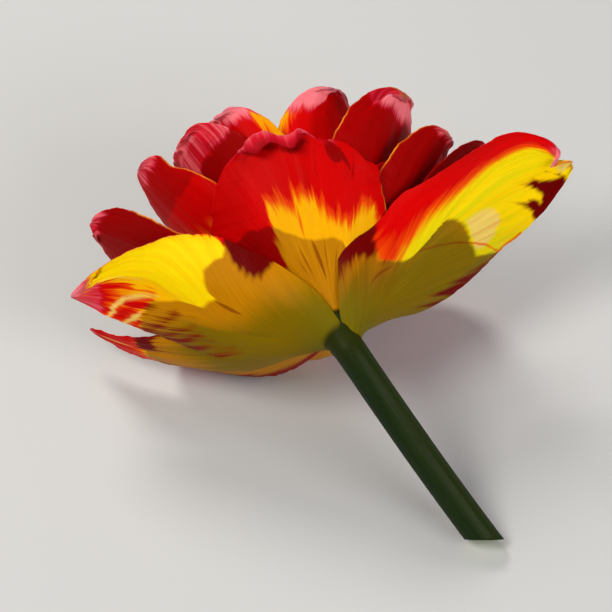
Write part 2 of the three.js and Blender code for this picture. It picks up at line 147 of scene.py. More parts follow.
PETALS = {
    "outer_petal_left": dict(
        turn=-98, seat=-3.6, length=66.5, width=34, claw=15, grid=(160, 128),
        opening=(74, 64, 38, 74), roll=(22, 20), cup=(50, 42, 14), tip=0.02, round=1.1,
        widest=0.48, fill=0.6, skew=0.36, lean=0.3, wave=(0.8, 2, 0, 90),
        foot=4.2),
    "outer_petal_right": dict(
        turn=77, seat=-3, length=71, width=33, claw=15.5, grid=(160, 128),
        opening=(56, 54, 44, 104), roll=(-20, -34), cup=(60, 42, 14), round=0.8,
        widest=0.5, fill=0.75, skew=0.1, lean=-0.2, wave=(1.1, 2, 120, 0),
        foot=5, rolled=(0.93, 1.7, 150, (-1.2, -0.8, -0.4, -0.15)), hang=0.8,
        swells=[(-1, 0.88, 0.1, 0.3), (-1, 0.16, 0.11, 0.75), (-1, 0.4, 0.1, 0.1),
                (-1, 0.56, 0.12, -0.08), (1, 0.13, 0.08, -0.25)]),
    "outer_petal_low_left": dict(
        turn=-120, seat=-2.5, length=73, width=22, claw=8,
        opening=(74, 71, 56, 38), roll=(6, 6), cup=(48, 24, 16), tip=0.04, round=1.2,
        widest=0.45, skew=-0.3, wave=(0.5, 2, 0, 90),
        foot=1.4),
    "outer_petal_floor_left": dict(
        turn=-138, seat=-0.9, length=58, width=32, claw=8,
        opening=(66, 76, 76, 20), cup=(40, 26, 24), lean=0.5,
        foot=2.6),
    "outer_petal_floor": dict(
        turn=192, width=29, claw=6.4,
        opening=(64, 66, 76, 0), cup=(40, 14, 14),
        foot=2.6),
    "second_petal_low_right": dict(
        turn=130, seat=0.9, length=58, width=36, claw=6.4,
        opening=(58, 58, 50, 44), cup=(44, 34, 20), wave=(1.2, 2, 0, 180),
        foot=3),
    "second_petal_left": dict(
        turn=-90, seat=0.6, length=65, width=30, claw=7,
        opening=(56, 53.5, 46, 48), roll=(4, 4), cup=(50, 28, 22), tip=0.06, round=0.65,
        widest=0.72, fill=2, skew=-0.2, wave=(1.0, 2, 40, 130),
        foot=3, rolled=(0.95, 1.2, 120, (-2, -1, 0.1, 0.4)), notches=[(0.85, 0.06, 0.03)]),
    "third_petal_top_right": dict(
        turn=58, seat=5.9, length=37, width=18, claw=3.6,
        opening=(37.4, 36.6, 36, 35), cup=(46, 44, 30)),
    "second_petal_top": dict(
        turn=-11, seat=2.95, length=47.5, width=49, grid=(150, 140),
        opening=(36, 36, 28, 24), cup=(50, 48, 18), tip=0.6, drop=0.12, tilt=0.085,
        widest=0.68, fill=0.9, skew=-0.07, lobes=(0.024, 4, -144), curl=14,
        foot=4.4, rolled=(0.935, 2.4, 165, (-0.72, -0.42, 0.05, 0.38)), hang=1.4,
        cut=(-1, 0.55, 0.24),
        swells=[(1, 0.68, 0.2, -0.08), (1, 0.92, 0.08, 0.1), (-1, 0.95, 0.25, 0.12)],
        notches=[(0.62, 0.045, 0.13), (0.9, 0.12, 0.03)]),
    "second_petal_right": dict(
        turn=85, seat=2.25, width=25, claw=6.4,
        opening=(49, 47, 45, 44), roll=(-4, -8), cup=(46, 30, 22), skew=0.1,
        foot=3),
    "third_petal_floor": dict(
        turn=172, seat=3.0, length=54, width=36, claw=7,
        opening=(52, 50, 44, 36), cup=(44, 34, 22), wave=(0.8, 2, 150, 20),
        foot=2),
    "third_petal_floor_left": dict(
        turn=-131, seat=4.0, length=57, width=34, claw=6.4,
        opening=(48, 46, 42, 36), cup=(44, 34, 22), wave=(0.8, 2, 0, 180)),
    "third_petal_floor_right": dict(
        turn=138, seat=3.8, length=56, width=33, claw=6.4,
        opening=(46, 46, 42, 34), cup=(40, 30, 22), wave=(0.8, 2, 60, 200)),
    "fourth_petal_left": dict(
        turn=-84, seat=5.0, length=61, width=30, claw=7,
        opening=(44, 41, 34, 30), roll=(6, 6), cup=(46, 38, 24), tip=0.06, round=0.6,
        fill=1.4, skew=-0.1, swells=[(1, 0.95, 0.05, 0.25), (1, 0.84, 0.07, -0.13)]),
    "fourth_petal_right": dict(
        turn=73, seat=4.8, length=53.5, width=26, claw=7,
        opening=(43.5, 41, 40, 38), roll=(-6, -8), cup=(46, 40, 24),
        rolled=(0.95, 1.3, 130, ALL_ACROSS)),
    "fifth_petal_left": dict(
        turn=-74, seat=6.2, length=57, width=37, claw=6.4,
        opening=(33, 31, 27, 20), cup=(46, 56, 28), tip=0.3, round=0.6,
        rolled=(0.955, 1.4, 130, ALL_ACROSS)),
    "fifth_petal_right": dict(
        turn=59, seat=6.95, length=56, width=36, claw=6.4,
        opening=(33, 33, 31.5, 28), cup=(46, 56, 28),
        rolled=(0.965, 1.2, 120, ALL_ACROSS), notches=[(-0.8, 0.07, 0.03)]),
    "fifth_petal_floor": dict(
        turn=-178, seat=5.3, length=54, width=34, claw=6.4,
        opening=(34, 34, 30, 24), cup=(46, 56, 30)),
    "sixth_petal_top_left": dict(
        turn=-48, seat=7.9, length=54.5, width=27, claw=5.6,
        opening=(26, 26, 24, 22), cup=(50, 72, 34),
        rolled=(0.94, 1.6, 130, ALL_ACROSS)),
    "sixth_petal_floor_left": dict(
        turn=-141, seat=9.2, length=50, width=27, claw=5.6,
        opening=(28, 24, 20, 18), cup=(60, 82, 44)),
    "sixth_petal_floor_right": dict(
        turn=124, seat=8.15, length=50, width=29, claw=5.6,
        opening=(30, 26, 22, 20), cup=(60, 74, 40)),
    "inner_petal_top": dict(
        turn=36, seat=9.6, length=54.5, width=34, claw=5.4,
        opening=(24, 16, 12, 12), cup=(60, 84, 30),
        rolled=(0.96, 1.3, 120, ALL_ACROSS), notches=[(-0.3, 0.07, 0.025)]),
    "inner_petal_floor": dict(
        turn=164, seat=10.7, length=46, width=24, claw=5,
        opening=(21, 12, 10, 12), cup=(60, 74, 40)),
    "inner_petal_left": dict(
        turn=-82, seat=11.6, length=44, width=22, claw=4.6,
        opening=(22, 12, 8, 10), cup=(60, 92, 46)),
}


# --- Where the petals' colours lie ---

# A place on a pattern is (u, p): u runs across the blade from -1 to 1, with 0
# on its midrib, and p along it as before. A mark is a function of u and p that
# is above 0 inside the mark.

BLADE_RATIO = 0.25  # half a blade's width, as a share of its length
VEIN_BEND = 1.4  # how soon a vein that fans out leaves the midrib
SLIT_CUT = 0.2  # how far a slit's pointed ends are drawn in
FAINT_DEPTH = 0.02


def beside(side, border):
    """A mark past a border given as (p, u) places, toward the margin of that side."""
    rows, places = zip(*border)
    return lambda u, p: side * (u - np.interp(p, rows, places))


def above(border):
    """A mark past a border given as (u, p) places, toward the tip."""
    places, rows = zip(*border)
    return lambda u, p: p - np.interp(u, places, rows)


def below(border):
    """A mark short of a border given as (u, p) places, toward the claw."""
    past = above(border)
    return lambda u, p: -past(u, p)


def strip(side, u0):
    """A mark along one margin, from u0 outward."""
    return lambda u, p: side * (u - u0)


def base_to(p0):
    """The blade's base, up to p0."""
    return lambda u, p: p0 - p


def tip_from(p0, middle=0.0):
    """The blade's tip, from p0 on the margins and a little higher in the middle."""
    return above([(-1, p0), (0, p0 + middle), (1, p0)])


def both(one, other):
    """The place that two marks share."""
    return lambda u, p: np.minimum(one(u, p), other(u, p))


def spot(u0, p0, across, along):
    """An oval mark round a place."""
    return lambda u, p: (1 - np.hypot((u - u0) / across, (p - p0) / along)) * min(across, along)


def from_stretch(start, end, u, p):
    """How far along the stretch between two places a place lies, and how far off it."""
    (u0, p0), (u1, p1) = start, end
    x, y = (u - u0) * BLADE_RATIO, p - p0
    dx, dy = (u1 - u0) * BLADE_RATIO, p1 - p0
    share = np.clip((x * dx + y * dy) / (dx * dx + dy * dy), 0, 1)
    return share, np.hypot(x - share * dx, y - share * dy)


def off_line(places, u, p):
    """How far a place is from a chain of (u, p) places."""
    stretches = zip(places, places[1:])
    return np.min([from_stretch(start, end, u, p)[1] for start, end in stretches], axis=0)


def line(places, width):
    """A thin mark along a chain of (u, p) places."""
    return lambda u, p: width - off_line(places, u, p)


def patch(corners):
    """A mark inside a closed chain of (u, p) places, no two in a row at the same p."""
    outline = corners + corners[:1]

    def mark(u, p):
        inside = np.zeros(np.shape(u), dtype=bool)
        for (u0, p0), (u1, p1) in zip(outline, outline[1:]):
            inside ^= ((p0 > p) != (p1 > p)) & (u < u0 + (p - p0) / (p1 - p0) * (u1 - u0))
        return np.where(inside, 1, -1) * off_line(outline, u, p)

    return mark


def wedge(tip, end, width):
    """A pointed tooth that widens from its tip to its end."""

    def mark(u, p):
        share, off = from_stretch(tip, end, u, p)
        return width * share - off

    return mark


def slit(start, end, width):
    """A thin mark that is pointed at both ends."""

    def mark(u, p):
        share, off = from_stretch(start, end, u, p)
        return width * (4 * share * (1 - share) - SLIT_CUT) - off

    return mark


def faint(mark):
    """A mark that never reaches far inside itself."""
    return lambda u, p: np.minimum(mark(u, p), FAINT_DEPTH)


ALL_OVER = tip_from(-1)
PLAIN_FLAME = above([(-1, 0.1), (0, 0.34), (1, 0.1)])  # the red round a plain yellow flame
LOW_MARGIN = beside(-1, [(0, -0.9), (0.5, -0.75), (1, -0.3)])  # of the petals on the floor

# What a petal's pattern is unless its own row says otherwise.
PATTERN = dict(
    midrib=[(0, 0), (1, 0)],  # its course, as (p, place across the blade)
    red=[above([(-1, 0.08), (-0.4, 0.16), (0, 0.34), (0.4, 0.16), (1, 0.08)])],
    dark=[],  # dark red
    cream=[],
    # Pink tips: partly their own tint, partly a painted sheen highlight.
    pink=[tip_from(0.97)],
    green=[],
    shade=[below([(-1, 0.4), (0, 0.5), (1, 0.4)])],  # painted shade: a deeper tone of yellow and red
    gold=[],  # where the margin is lined with gold
    warm=[ALL_OVER],  # where the yellow is nearer to orange
    vein=[],  # single thin red veins
    streaks=0.2,  # how ragged the borders are
    fan=0,  # how steeply the veins leave the midrib, see vein_course
    heat=0.0,  # how far the warm yellow turns to orange
    glow=0.12,  # how wide the orange border of the red is
    neck=0.0,  # where the foot turns as green as the stem
    olive=1.0,  # how olive the claw is
    dusk=0.95,  # how dark the red is in its painted shade
)

PATTERNS = dict(
    outer_petal_left=dict(
        midrib=[
            (0, 0), (0.3, -0.03), (0.4, 0.05), (0.5, 0.17), (0.6, 0.27), (0.7, 0.42), (0.8, 0.5),
            (0.9, 0.5), (1, 0.3),
        ],
        red=[
            patch([
                (-0.17, 0.95), (-0.02, 0.92), (0.16, 0.902), (0.07, 0.861), (-0.03, 0.81),
                (-0.06, 0.765), (-0.12, 0.806), (-0.23, 0.839), (-0.44, 0.849), (-0.91, 0.868),
                (-1.1, 0.89), (-1.1, 0.96),
            ]),
            patch([
                (-1.1, 0.847), (-0.48, 0.809), (-0.28, 0.773), (-0.2, 0.72), (-0.14, 0.67),
                (-0.22, 0.693), (-0.33, 0.709), (-0.6, 0.759), (-1.1, 0.82),
            ]),
            patch([(-1.1, 0.79), (-0.84, 0.757), (-0.62, 0.724), (-1.1, 0.73)]),
            beside(1, [(0.18, 1.1), (0.24, 0.84), (0.34, 0.82), (0.42, 0.93), (0.5, 1), (1, 1.1)]),
            wedge((-0.13, 0.57), (-1.05, 0.72), 0.034), wedge((-0.2, 0.49), (-1.05, 0.665), 0.034),
            wedge((-0.34, 0.465), (-1.05, 0.6), 0.036), wedge((-0.5, 0.42), (-1.05, 0.53), 0.028),
            wedge((-0.6, 0.34), (-1.05, 0.45), 0.02),
        ],
        dark=[
            patch([
                (0.94, 0.44), (0.84, 0.39), (0.76, 0.37), (0.78, 0.35), (0.7, 0.335), (0.75, 0.32),
                (0.68, 0.3), (0.72, 0.285), (0.66, 0.27), (0.74, 0.255), (0.7, 0.235),
                (0.82, 0.217), (0.92, 0.204), (1.1, 0.195), (1.1, 0.43),
            ]),
            patch([
                (1.1, 0.885), (0.88, 0.898), (0.58, 0.92), (0.45, 0.895), (0.86, 0.883),
                (1.1, 0.87),
            ]),
        ],
        cream=[
            patch([
                (-1.1, 0.864), (-0.42, 0.838), (-0.23, 0.805), (-0.14, 0.738), (-0.09, 0.677),
                (-0.07, 0.636), (-0.13, 0.669), (-0.2, 0.72), (-0.28, 0.781), (-0.45, 0.808),
                (-1.1, 0.85),
            ]),
            patch([
                (-1.1, 0.815), (-0.6, 0.759), (-0.3, 0.705), (-0.54, 0.715), (-0.88, 0.767),
                (-1.1, 0.795),
            ]),
            line([(0.18, 0.902), (0.2, 0.842), (0.05, 0.782), (0.03, 0.72)], 0.006),
        ],
        pink=[
            above([(-1, 0.96), (-0.2, 0.95), (-0.08, 0.925), (0.35, 0.92), (1, 0.925)]),
            faint(both(tip_from(0.87), strip(-1, 0.1))), both(strip(1, 0.98), tip_from(0.62)),
        ],
        green=[below([(-1, 0.75), (-0.2, 0.6), (0, 0.42), (0.3, 0.3), (0.6, 0.22), (1, 0.16)])],
        # Painted shade, with a crisp edge like a cast shadow.
        shade=[below([
            (-1, 0.737), (-0.66, 0.726), (-0.27, 0.704), (-0.18, 0.686), (-0.13, 0.656),
            (-0.01, 0.575), (0.06, 0.511), (0.11, 0.468), (0.24, 0.442), (0.31, 0.415),
            (0.33, 0.45), (0.44, 0.474), (0.56, 0.486), (0.65, 0.472), (0.73, 0.449), (0.79, 0.424),
            (1, 0.42),
        ])],
        warm=[both(beside(-1, [(0, 0.1), (1, 0.14)]), tip_from(0.5)), strip(1, 0.9)],
        vein=[slit((0.28, 0.43), (0.26, 0.28), 0.009), line([(0.3, 0.93), (0.9, 0.9)], 0.006)],
        streaks=0.09, fan=1.6, heat=0.7, glow=0.025, neck=-0.02,
    ),
    outer_petal_right=dict(
        midrib=[
            (0, 0), (0.2, -0.05), (0.35, -0.15), (0.45, -0.2), (0.6, -0.3), (0.75, -0.45),
            (0.88, -0.42), (1, -0.1),
        ],
        red=[both(
            beside(-1, [
                (0, -0.2), (0.2, -0.22), (0.3, -0.42), (0.5, -0.42), (0.6, -0.38), (0.68, -0.34),
                (0.765, -0.3), (0.84, -0.36), (0.9, -0.42), (0.96, -0.3), (1, -0.3),
            ]),
            above([
                (-1, 0.1), (-0.85, 0.14), (-0.72, 0.17), (-0.46, 0.21), (-0.24, 0.26), (-0.1, 0.3),
                (1, 0.31),
            ]),
        )],
        dark=[
            patch([
                (1.1, 0.787), (0.92, 0.789), (0.87, 0.791), (0.75, 0.779), (0.65, 0.764),
                (0.55, 0.743), (0.45, 0.712), (0.48, 0.736), (0.64, 0.799), (0.6, 0.801),
                (0.67, 0.825), (0.81, 0.841), (0.68, 0.845), (0.5, 0.827), (0.37, 0.789),
                (0.39, 0.826), (0.38, 0.854), (0.47, 0.872), (0.54, 0.911), (0.6, 0.942),
                (0.41, 0.923), (0.3, 0.901), (0.28, 0.881), (0.48, 0.941), (0.49, 0.958),
                (0.75, 0.968), (1.1, 0.985),
            ]),
            # Painted shade: dark red over the red half near the claw.
            patch([
                (-1.1, 0.08), (-0.96, 0.078), (-0.91, 0.108), (-0.87, 0.088), (-0.8, 0.125),
                (-0.77, 0.11), (-0.7, 0.15), (-0.66, 0.135), (-0.6, 0.172), (-0.55, 0.165),
                (-0.47, 0.2), (-0.52, 0.225), (-0.7, 0.252), (-0.83, 0.282), (-1.1, 0.33),
            ]),
            wedge((0.6, 0.27), (1.05, 0.42), 0.045), wedge((0.66, 0.2), (1.05, 0.33), 0.03),
            wedge((0.66, 0.35), (1.05, 0.5), 0.035), wedge((0.76, 0.44), (1.05, 0.57), 0.025),
        ],
        cream=[
            patch([
                (0.22, 0.548), (0.25, 0.596), (0.32, 0.643), (0.41, 0.673), (0.54, 0.68),
                (0.62, 0.66), (0.68, 0.62), (0.69, 0.56), (0.61, 0.527), (0.49, 0.533),
                (0.35, 0.541),
            ]),
            spot(0.2, 0.968, 0.4, 0.028),
        ],
        pink=[both(tip_from(0.925), strip(-1, -0.22)), tip_from(0.985)],
        green=[
            both(
                below([(-1, 0.2), (-0.3, 0.26), (0, 0.42), (0.1, 0.56), (0.9, 0.75), (1, 0.8)]),
                beside(1, [(0, -1), (0.3, -0.3), (1, -0.2)]),
            ),
            line([
                (-0.11, 0.225), (-0.1, 0.316), (-0.01, 0.4), (0, 0.514), (0.07, 0.66), (0.12, 0.75),
                (0.05, 0.83), (-0.01, 0.885), (-0.13, 0.917),
            ], 0.13),
            patch([
                (0.44, 0.693), (0.64, 0.739), (0.85, 0.774), (0.9, 0.759), (0.84, 0.685),
                (0.82, 0.636), (0.79, 0.585), (0.73, 0.53), (0.72, 0.6), (0.66, 0.647),
                (0.54, 0.69),
            ]),
        ],
        # Painted shade, with a straight edge where a cast shadow ends.
        shade=[below([
            (-1, 0.31), (-0.7, 0.25), (-0.42, 0.21), (-0.15, 0.28), (-0.1, 0.31), (-0.03, 0.4),
            (-0.08, 0.468), (0.01, 0.512), (0.14, 0.536), (0.33, 0.543), (0.47, 0.53), (0.7, 0.527),
            (0.86, 0.582), (1, 0.63),
        ])],
        warm=[beside(-1, [
            (0, -0.1), (0.26, -0.28), (0.38, -0.26), (0.5, -0.22), (0.6, -0.19), (0.68, -0.07),
            (0.765, -0.03), (0.84, -0.15), (0.9, -0.34), (0.93, -0.28), (1, 0),
        ])],
        vein=[
            line([
                (-0.035, 0.339), (0.112, 0.397), (0.312, 0.471), (0.482, 0.522), (0.681, 0.573),
                (1, 0.623),
            ], 0.0045),
            line([(0.99, 0.55), (1, 0.72)], 0.012), slit((-0.42, 0.08), (-0.2, 0.25), 0.008),
        ],
        streaks=0.14, fan=0.6, heat=0.9, glow=0.25, neck=-0.055,
    ),
    outer_petal_low_left=dict(
        red=[
            above([(-1, 0.7), (0, 0.76), (1, 0.72)]), beside(1, [(0.5, 1.1), (0.7, 0.7), (1, 0.2)]),
        ],
        dark=[spot(0.6, 0.7, 0.5, 0.05)], cream=[line([(0.1, 0.78), (0.3, 0.92)], 0.008)],
        # Painted shade over the base.
        shade=[base_to(0.74)], green=[base_to(0.6)], warm=[], streaks=0.3,
    ),
    outer_petal_floor_left=dict(
        # Painted shade over all but the tip.
        red=[LOW_MARGIN, tip_from(0.72)], shade=[below([(-1, 0.8), (0, 0.82), (1, 0.8)])],
        streaks=0.4, dusk=0.8,
    ),
    # Painted shade over the base.
    outer_petal_floor=dict(red=[LOW_MARGIN, tip_from(0.75)], shade=[base_to(0.6)], streaks=0.3),
    second_petal_top=dict(
        red=[above([
            (-1, 0), (-0.62, 0.1), (-0.53, 0.2), (-0.49, 0.27), (-0.45, 0.4), (-0.39, 0.45),
            (-0.37, 0.57), (-0.33, 0.59), (-0.3, 0.56), (-0.25, 0.655), (-0.18, 0.596),
            (-0.12, 0.54), (-0.09, 0.685), (-0.05, 0.635), (0.03, 0.7), (0.08, 0.665), (0.12, 0.58),
            (0.17, 0.5), (0.26, 0.515), (0.32, 0.48), (0.4, 0.535), (0.45, 0.465), (0.58, 0.48),
            (0.71, 0.56), (0.79, 0.56), (0.9, 0.5), (1, 0.45),
        ])],
        # Painted highlight: pink along the rolled rim's crest and on the right lobe's rim.
        pink=[
            line([(-0.65, 0.975), (-0.45, 0.965), (-0.1, 0.968), (0.1, 0.962), (0.3, 0.98)], 0.032),
            line([(0.64, 1.0), (0.95, 0.99)], 0.018),
        ],
        # Painted shade: over the lower flame, under the rolled rim, on a fold of the right lobe and
        # on the rim's hanging part.
        shade=[
            below([
                (-1, 0.52), (-0.79, 0.524), (-0.6, 0.534), (-0.55, 0.512), (-0.45, 0.51),
                (-0.36, 0.475), (-0.29, 0.431), (-0.18, 0.403), (-0.05, 0.38), (0.14, 0.354),
                (0.28, 0.354), (0.37, 0.336), (0.44, 0.291), (0.5, 0.25), (0.7, 0.15), (1, 0.05),
            ]),
            spot(-0.3, 0.91, 0.25, 0.03), spot(0.06, 0.91, 0.22, 0.03), spot(0.5, 0.9, 0.12, 0.08),
            both(tip_from(0.975), strip(-1, 0.35)),
        ],
        gold=[both(strip(1, 0.9), base_to(0.8))],
        vein=[
            slit((-0.05, 0.42), (0.02, 0.08), 0.011), slit((-0.08, 0.62), (-0.12, 0.34), 0.006),
            slit((-0.22, 0.36), (-0.2, 0.1), 0.006), slit((-0.32, 0.32), (-0.28, 0.12), 0.005),
            slit((0.12, 0.4), (0.08, 0.1), 0.005), slit((0.3, 0.34), (0.22, 0.1), 0.005),
        ],
        streaks=0.16, heat=0.1, glow=0.09, neck=-0.05, olive=0.1, dusk=0.75,
    ),
    second_petal_left=dict(
        # Painted highlight: pink at the tip's right end.
        pink=[both(tip_from(0.965), strip(1, 0.35)), faint(tip_from(0.95))],
        # Painted shade over the whole petal.
        gold=[both(strip(1, 0.8), base_to(0.86))], shade=[ALL_OVER], dusk=0.7,
    ),
    # Painted shade over the whole petal.
    second_petal_right=dict(shade=[ALL_OVER], dusk=0.7),
    # Painted shade over the whole petal.
    third_petal_top_right=dict(shade=[ALL_OVER], dusk=0.45),
    fourth_petal_left=dict(
        red=[above([(-1, 0.5), (-0.5, 0.62), (-0.1, 0.57), (0.4, 0.5), (1, 0.3)])],
        pink=[faint(tip_from(0.93)), both(tip_from(0.965), strip(-1, 0.4))],
        # Painted shade over its outer part.
        shade=[above([(-1, 0.8), (0, 0.76), (1, 0.72)])],
        gold=[strip(-1, -0.8), both(strip(1, 0.8), base_to(0.93))], dusk=0.45,
    ),
    fourth_petal_right=dict(
        # Painted shade over the whole petal.
        shade=[ALL_OVER], gold=[strip(-1, -0.8)],
        pink=[
            patch([(0.05, 0.7), (0.2, 0.88), (0.5, 0.93), (1, 0.9), (1.1, 0.75), (0.6, 0.69)]),
            tip_from(0.95),
        ],
        dusk=0.6,
    ),
    fifth_petal_left=dict(
        # Painted shade: a spot near the tip and the right half below it.
        shade=[spot(0.15, 0.77, 0.5, 0.08), both(strip(1, 0.5), base_to(0.88))],
        # A crimson tip of its own, with painted pink highlights near the tip.
        pink=[faint(tip_from(0.82)), both(tip_from(0.9, 0.02), strip(-1, 0.6))], dusk=0.7,
    ),
    fifth_petal_right=dict(
        # Painted shade over the whole petal.
        gold=[strip(-1, -0.8)], shade=[ALL_OVER],
        # Painted highlight: pink over the tip.
        pink=[both(tip_from(0.87), strip(1, -0.7)), faint(tip_from(0.88))], dusk=0.55,
    ),
    sixth_petal_top_left=dict(
        red=[both(PLAIN_FLAME, beside(-1, [(0, 0.8), (0.9, 0.72), (1, 0.9)]))],
        pink=[tip_from(0.88, 0.02)], heat=0.3,
    ),
    inner_petal_top=dict(
        red=[both(PLAIN_FLAME, beside(1, [(0, -0.9), (0.7, -0.88), (0.85, -0.8), (1, -0.95)]))],
        # Pink along the top rim and down both sides: partly its own tint, partly a painted
        # highlight.
        pink=[
            tip_from(0.95, 0.01),
            both(tip_from(0.84), beside(-1, [(0, -0.5), (0.84, -0.5), (1, -0.1)])),
            both(tip_from(0.62), beside(1, [(0, 0.8), (0.62, 0.8), (1, 0.5)])),
        ],
        heat=0.3,
    ),
)

# The marks, as they are stored on a petal's mesh.
FIELDS = dict(
    marks=("red", "dark", "cream"),
    tones=("pink", "green", "shade"),
    trims=("gold", "warm", "vein"),
)


# --- Camera ---

CAMERA_ELEVATION = 50
CAMERA_DISTANCE = 800
VIEW_WIDTH = 153  # of the flower's plane that the picture spans
SENSOR_WIDTH = 36
AIM_SIDE = -8  # the view's centre, from the neck, to the right and up
AIM_UP = 4


def place_camera():
    """Puts the camera above and in front of the flower."""
    tilt = math.radians(CAMERA_ELEVATION)
    toward = np.array([0, -math.cos(tilt), math.sin(tilt)])
    up = np.array([0, math.sin(tilt), math.cos(tilt)])
    aim = NECK + np.array([AIM_SIDE, 0, 0]) + AIM_UP * up
    data = bpy.data.cameras.new("camera")
    data.sensor_width = SENSOR_WIDTH
    data.lens = SENSOR_WIDTH * CAMERA_DISTANCE / VIEW_WIDTH
    camera = bpy.data.objects.new("camera", data)
    camera.location = Vector((aim + CAMERA_DISTANCE * toward) * MM)
    camera.rotation_euler = (math.radians(90 - CAMERA_ELEVATION), 0, 0)
    bpy.context.scene.collection.objects.link(camera)
    bpy.context.scene.camera = camera


place_camera()


# --- Small helpers ---

OCTAVE_STEP = 1.9  # how much finer each of a random line's waves is than the one before
OCTAVE_FADE = 1.5  # and how much lower


def smooth(x, start, end):
    """Rises softly from 0 at start to 1 at end."""
    t = np.clip((x - start) / (end - start), 0, 1)
    return t * t * (3 - 2 * t)


def blend(values, t):
    """A Bezier blend of a few control values."""
    row = [np.full_like(t, value, dtype=float) for value in values]
    while len(row) > 1:
        row = [a + (b - a) * t for a, b in zip(row, row[1:])]
    return row[0]


def wander(x, seed, octaves=4):
    """A smooth random line between about -1 and 1, the same for the same seed."""
    phases = np.random.default_rng(seed).uniform(0, 2 * math.pi, octaves)
    total = 0
    for octave, phase in enumerate(phases):
        total = total + np.sin(x * OCTAVE_STEP**octave + phase) / OCTAVE_FADE**octave
    return total / 2


def unit(vector):
    """A direction with length 1."""
    return np.array(vector) / np.linalg.norm(vector)


def bloom_matrix():
    """Turns the bloom's own directions: its +Z runs out of its mouth."""
    turn = math.radians(BLOOM_HEADING)
    lean = math.radians(BLOOM_PITCH - 90)
    side = np.array([math.cos(turn), math.sin(turn), 0])
    front = np.array([-math.sin(turn), math.cos(turn), 0])
    up = np.array([0, 0, 1])
    forward = math.cos(lean) * front + math.sin(lean) * up
    mouth = math.cos(lean) * up - math.sin(lean) * front
    return np.stack([side, forward, mouth], axis=1)


BLOOM = bloom_matrix()


def add_piece(name, points, faces, node, material, fields):
    """Makes a smooth mesh from points in millimetres, in place of a CAD node."""
    mesh = bpy.data.meshes.new(name)
    mesh.from_pydata((np.asarray(points) * MM).tolist(), [], faces)
    mesh.polygons.foreach_set("use_smooth", [True] * len(mesh.polygons))
    for key, values in fields.items():
        kind, part = ("FLOAT_VECTOR", "vector") if np.ndim(values) == 2 else ("FLOAT", "value")
        layer = mesh.attributes.new(key, kind, "POINT")
        layer.data.foreach_set(part, np.ravel(values))
    mesh.materials.append(material)
    mesh.update()
    piece = bpy.data.objects.new(name, mesh)
    bpy.context.scene.collection.objects.link(piece)
    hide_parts(node)
    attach(piece, BODY)


# --- Petals ---


def ring_of(petal):
    """How far a petal's seat lies from the bloom's axis."""
    heights, radii = zip(*HEAD_PROFILE)
    return np.interp(petal["seat"], heights, radii) + SEAT_GAP + PETAL_THICKNESS / 2


def claw_turn(petal, v):
    """How far round the head column v of a petal's claw lies."""
    half = petal["claw"] * (1 + petal["skew"] * np.sign(v)) / 2
    return math.radians(petal["turn"]) + v * half / ring_of(petal)


def half_width(petal, p):
    """Half the blade's width at row p."""
    half = petal["width"] / 2
    widest = petal["widest"]
    swell = np.sin(np.clip(p / widest, 0, 1) * math.pi / 2) ** petal["fill"]
    below = petal["claw"] / 2 + (half - petal["claw"] / 2) * swell
    y = np.clip((p - widest) / (1 - widest), 0, 1)
    above = half * (petal["tip"] + (1 - petal["tip"]) * (1 - y * y) ** petal["round"])
    return np.where(p < widest, below, above)


def reach(petal, v):
    """How far column v reaches along the midrib, as a share of its length."""
    depth, count, phase = petal["lobes"]
    phase = math.radians(phase)
    lobe = np.cos(count * math.pi * v + phase) - math.cos(phase)
    side, start, cut = petal["cut"]
    corner = cut * np.clip((side * v - start) / (1 - start), 0, 1) ** CORNER_CURVE
    return 1 - petal["drop"] * v * v - petal["tilt"] * (v + 1) + depth * lobe - corner


def rolled_rim(petal, p, v):
    """How a rim that rolls outward lies: moved back along the blade, and out of it.

    The row gives where the roll starts, its radius, the degrees it turns, and
    four places across the blade: it rises to full between the first two, and
    falls again between the last two.
    """
    start, radius, degrees, (rises, full, falls, gone) = petal["rolled"]
    end = math.radians(degrees)
    hang = petal["hang"] * (1 + HANG_SWAY * np.sin(HANG_WAVES * v))
    way = np.clip((p - start) / max(TINY, 1 - start), 0, 1) * (radius * end + hang)
    turn = np.minimum(way / radius, end)
    free = np.maximum(0, way - radius * end)
    share = smooth(v, rises, full) * (1 - smooth(v, falls, gone))
    straight = np.maximum(0, p - start) * petal["length"]
    forward = radius * np.sin(turn) + free * math.cos(end) - straight
    return share * forward, share * (radius * (1 - np.cos(turn)) + free * math.sin(end))


def swollen(petal, p, v):
    """How much wider the swells of its margins make a petal."""
    total = 1
    for side, place, length, share in petal["swells"]:
        total = total + share * np.exp(-(((p - place) / length) ** 2)) * (side * v > 0)
    return total


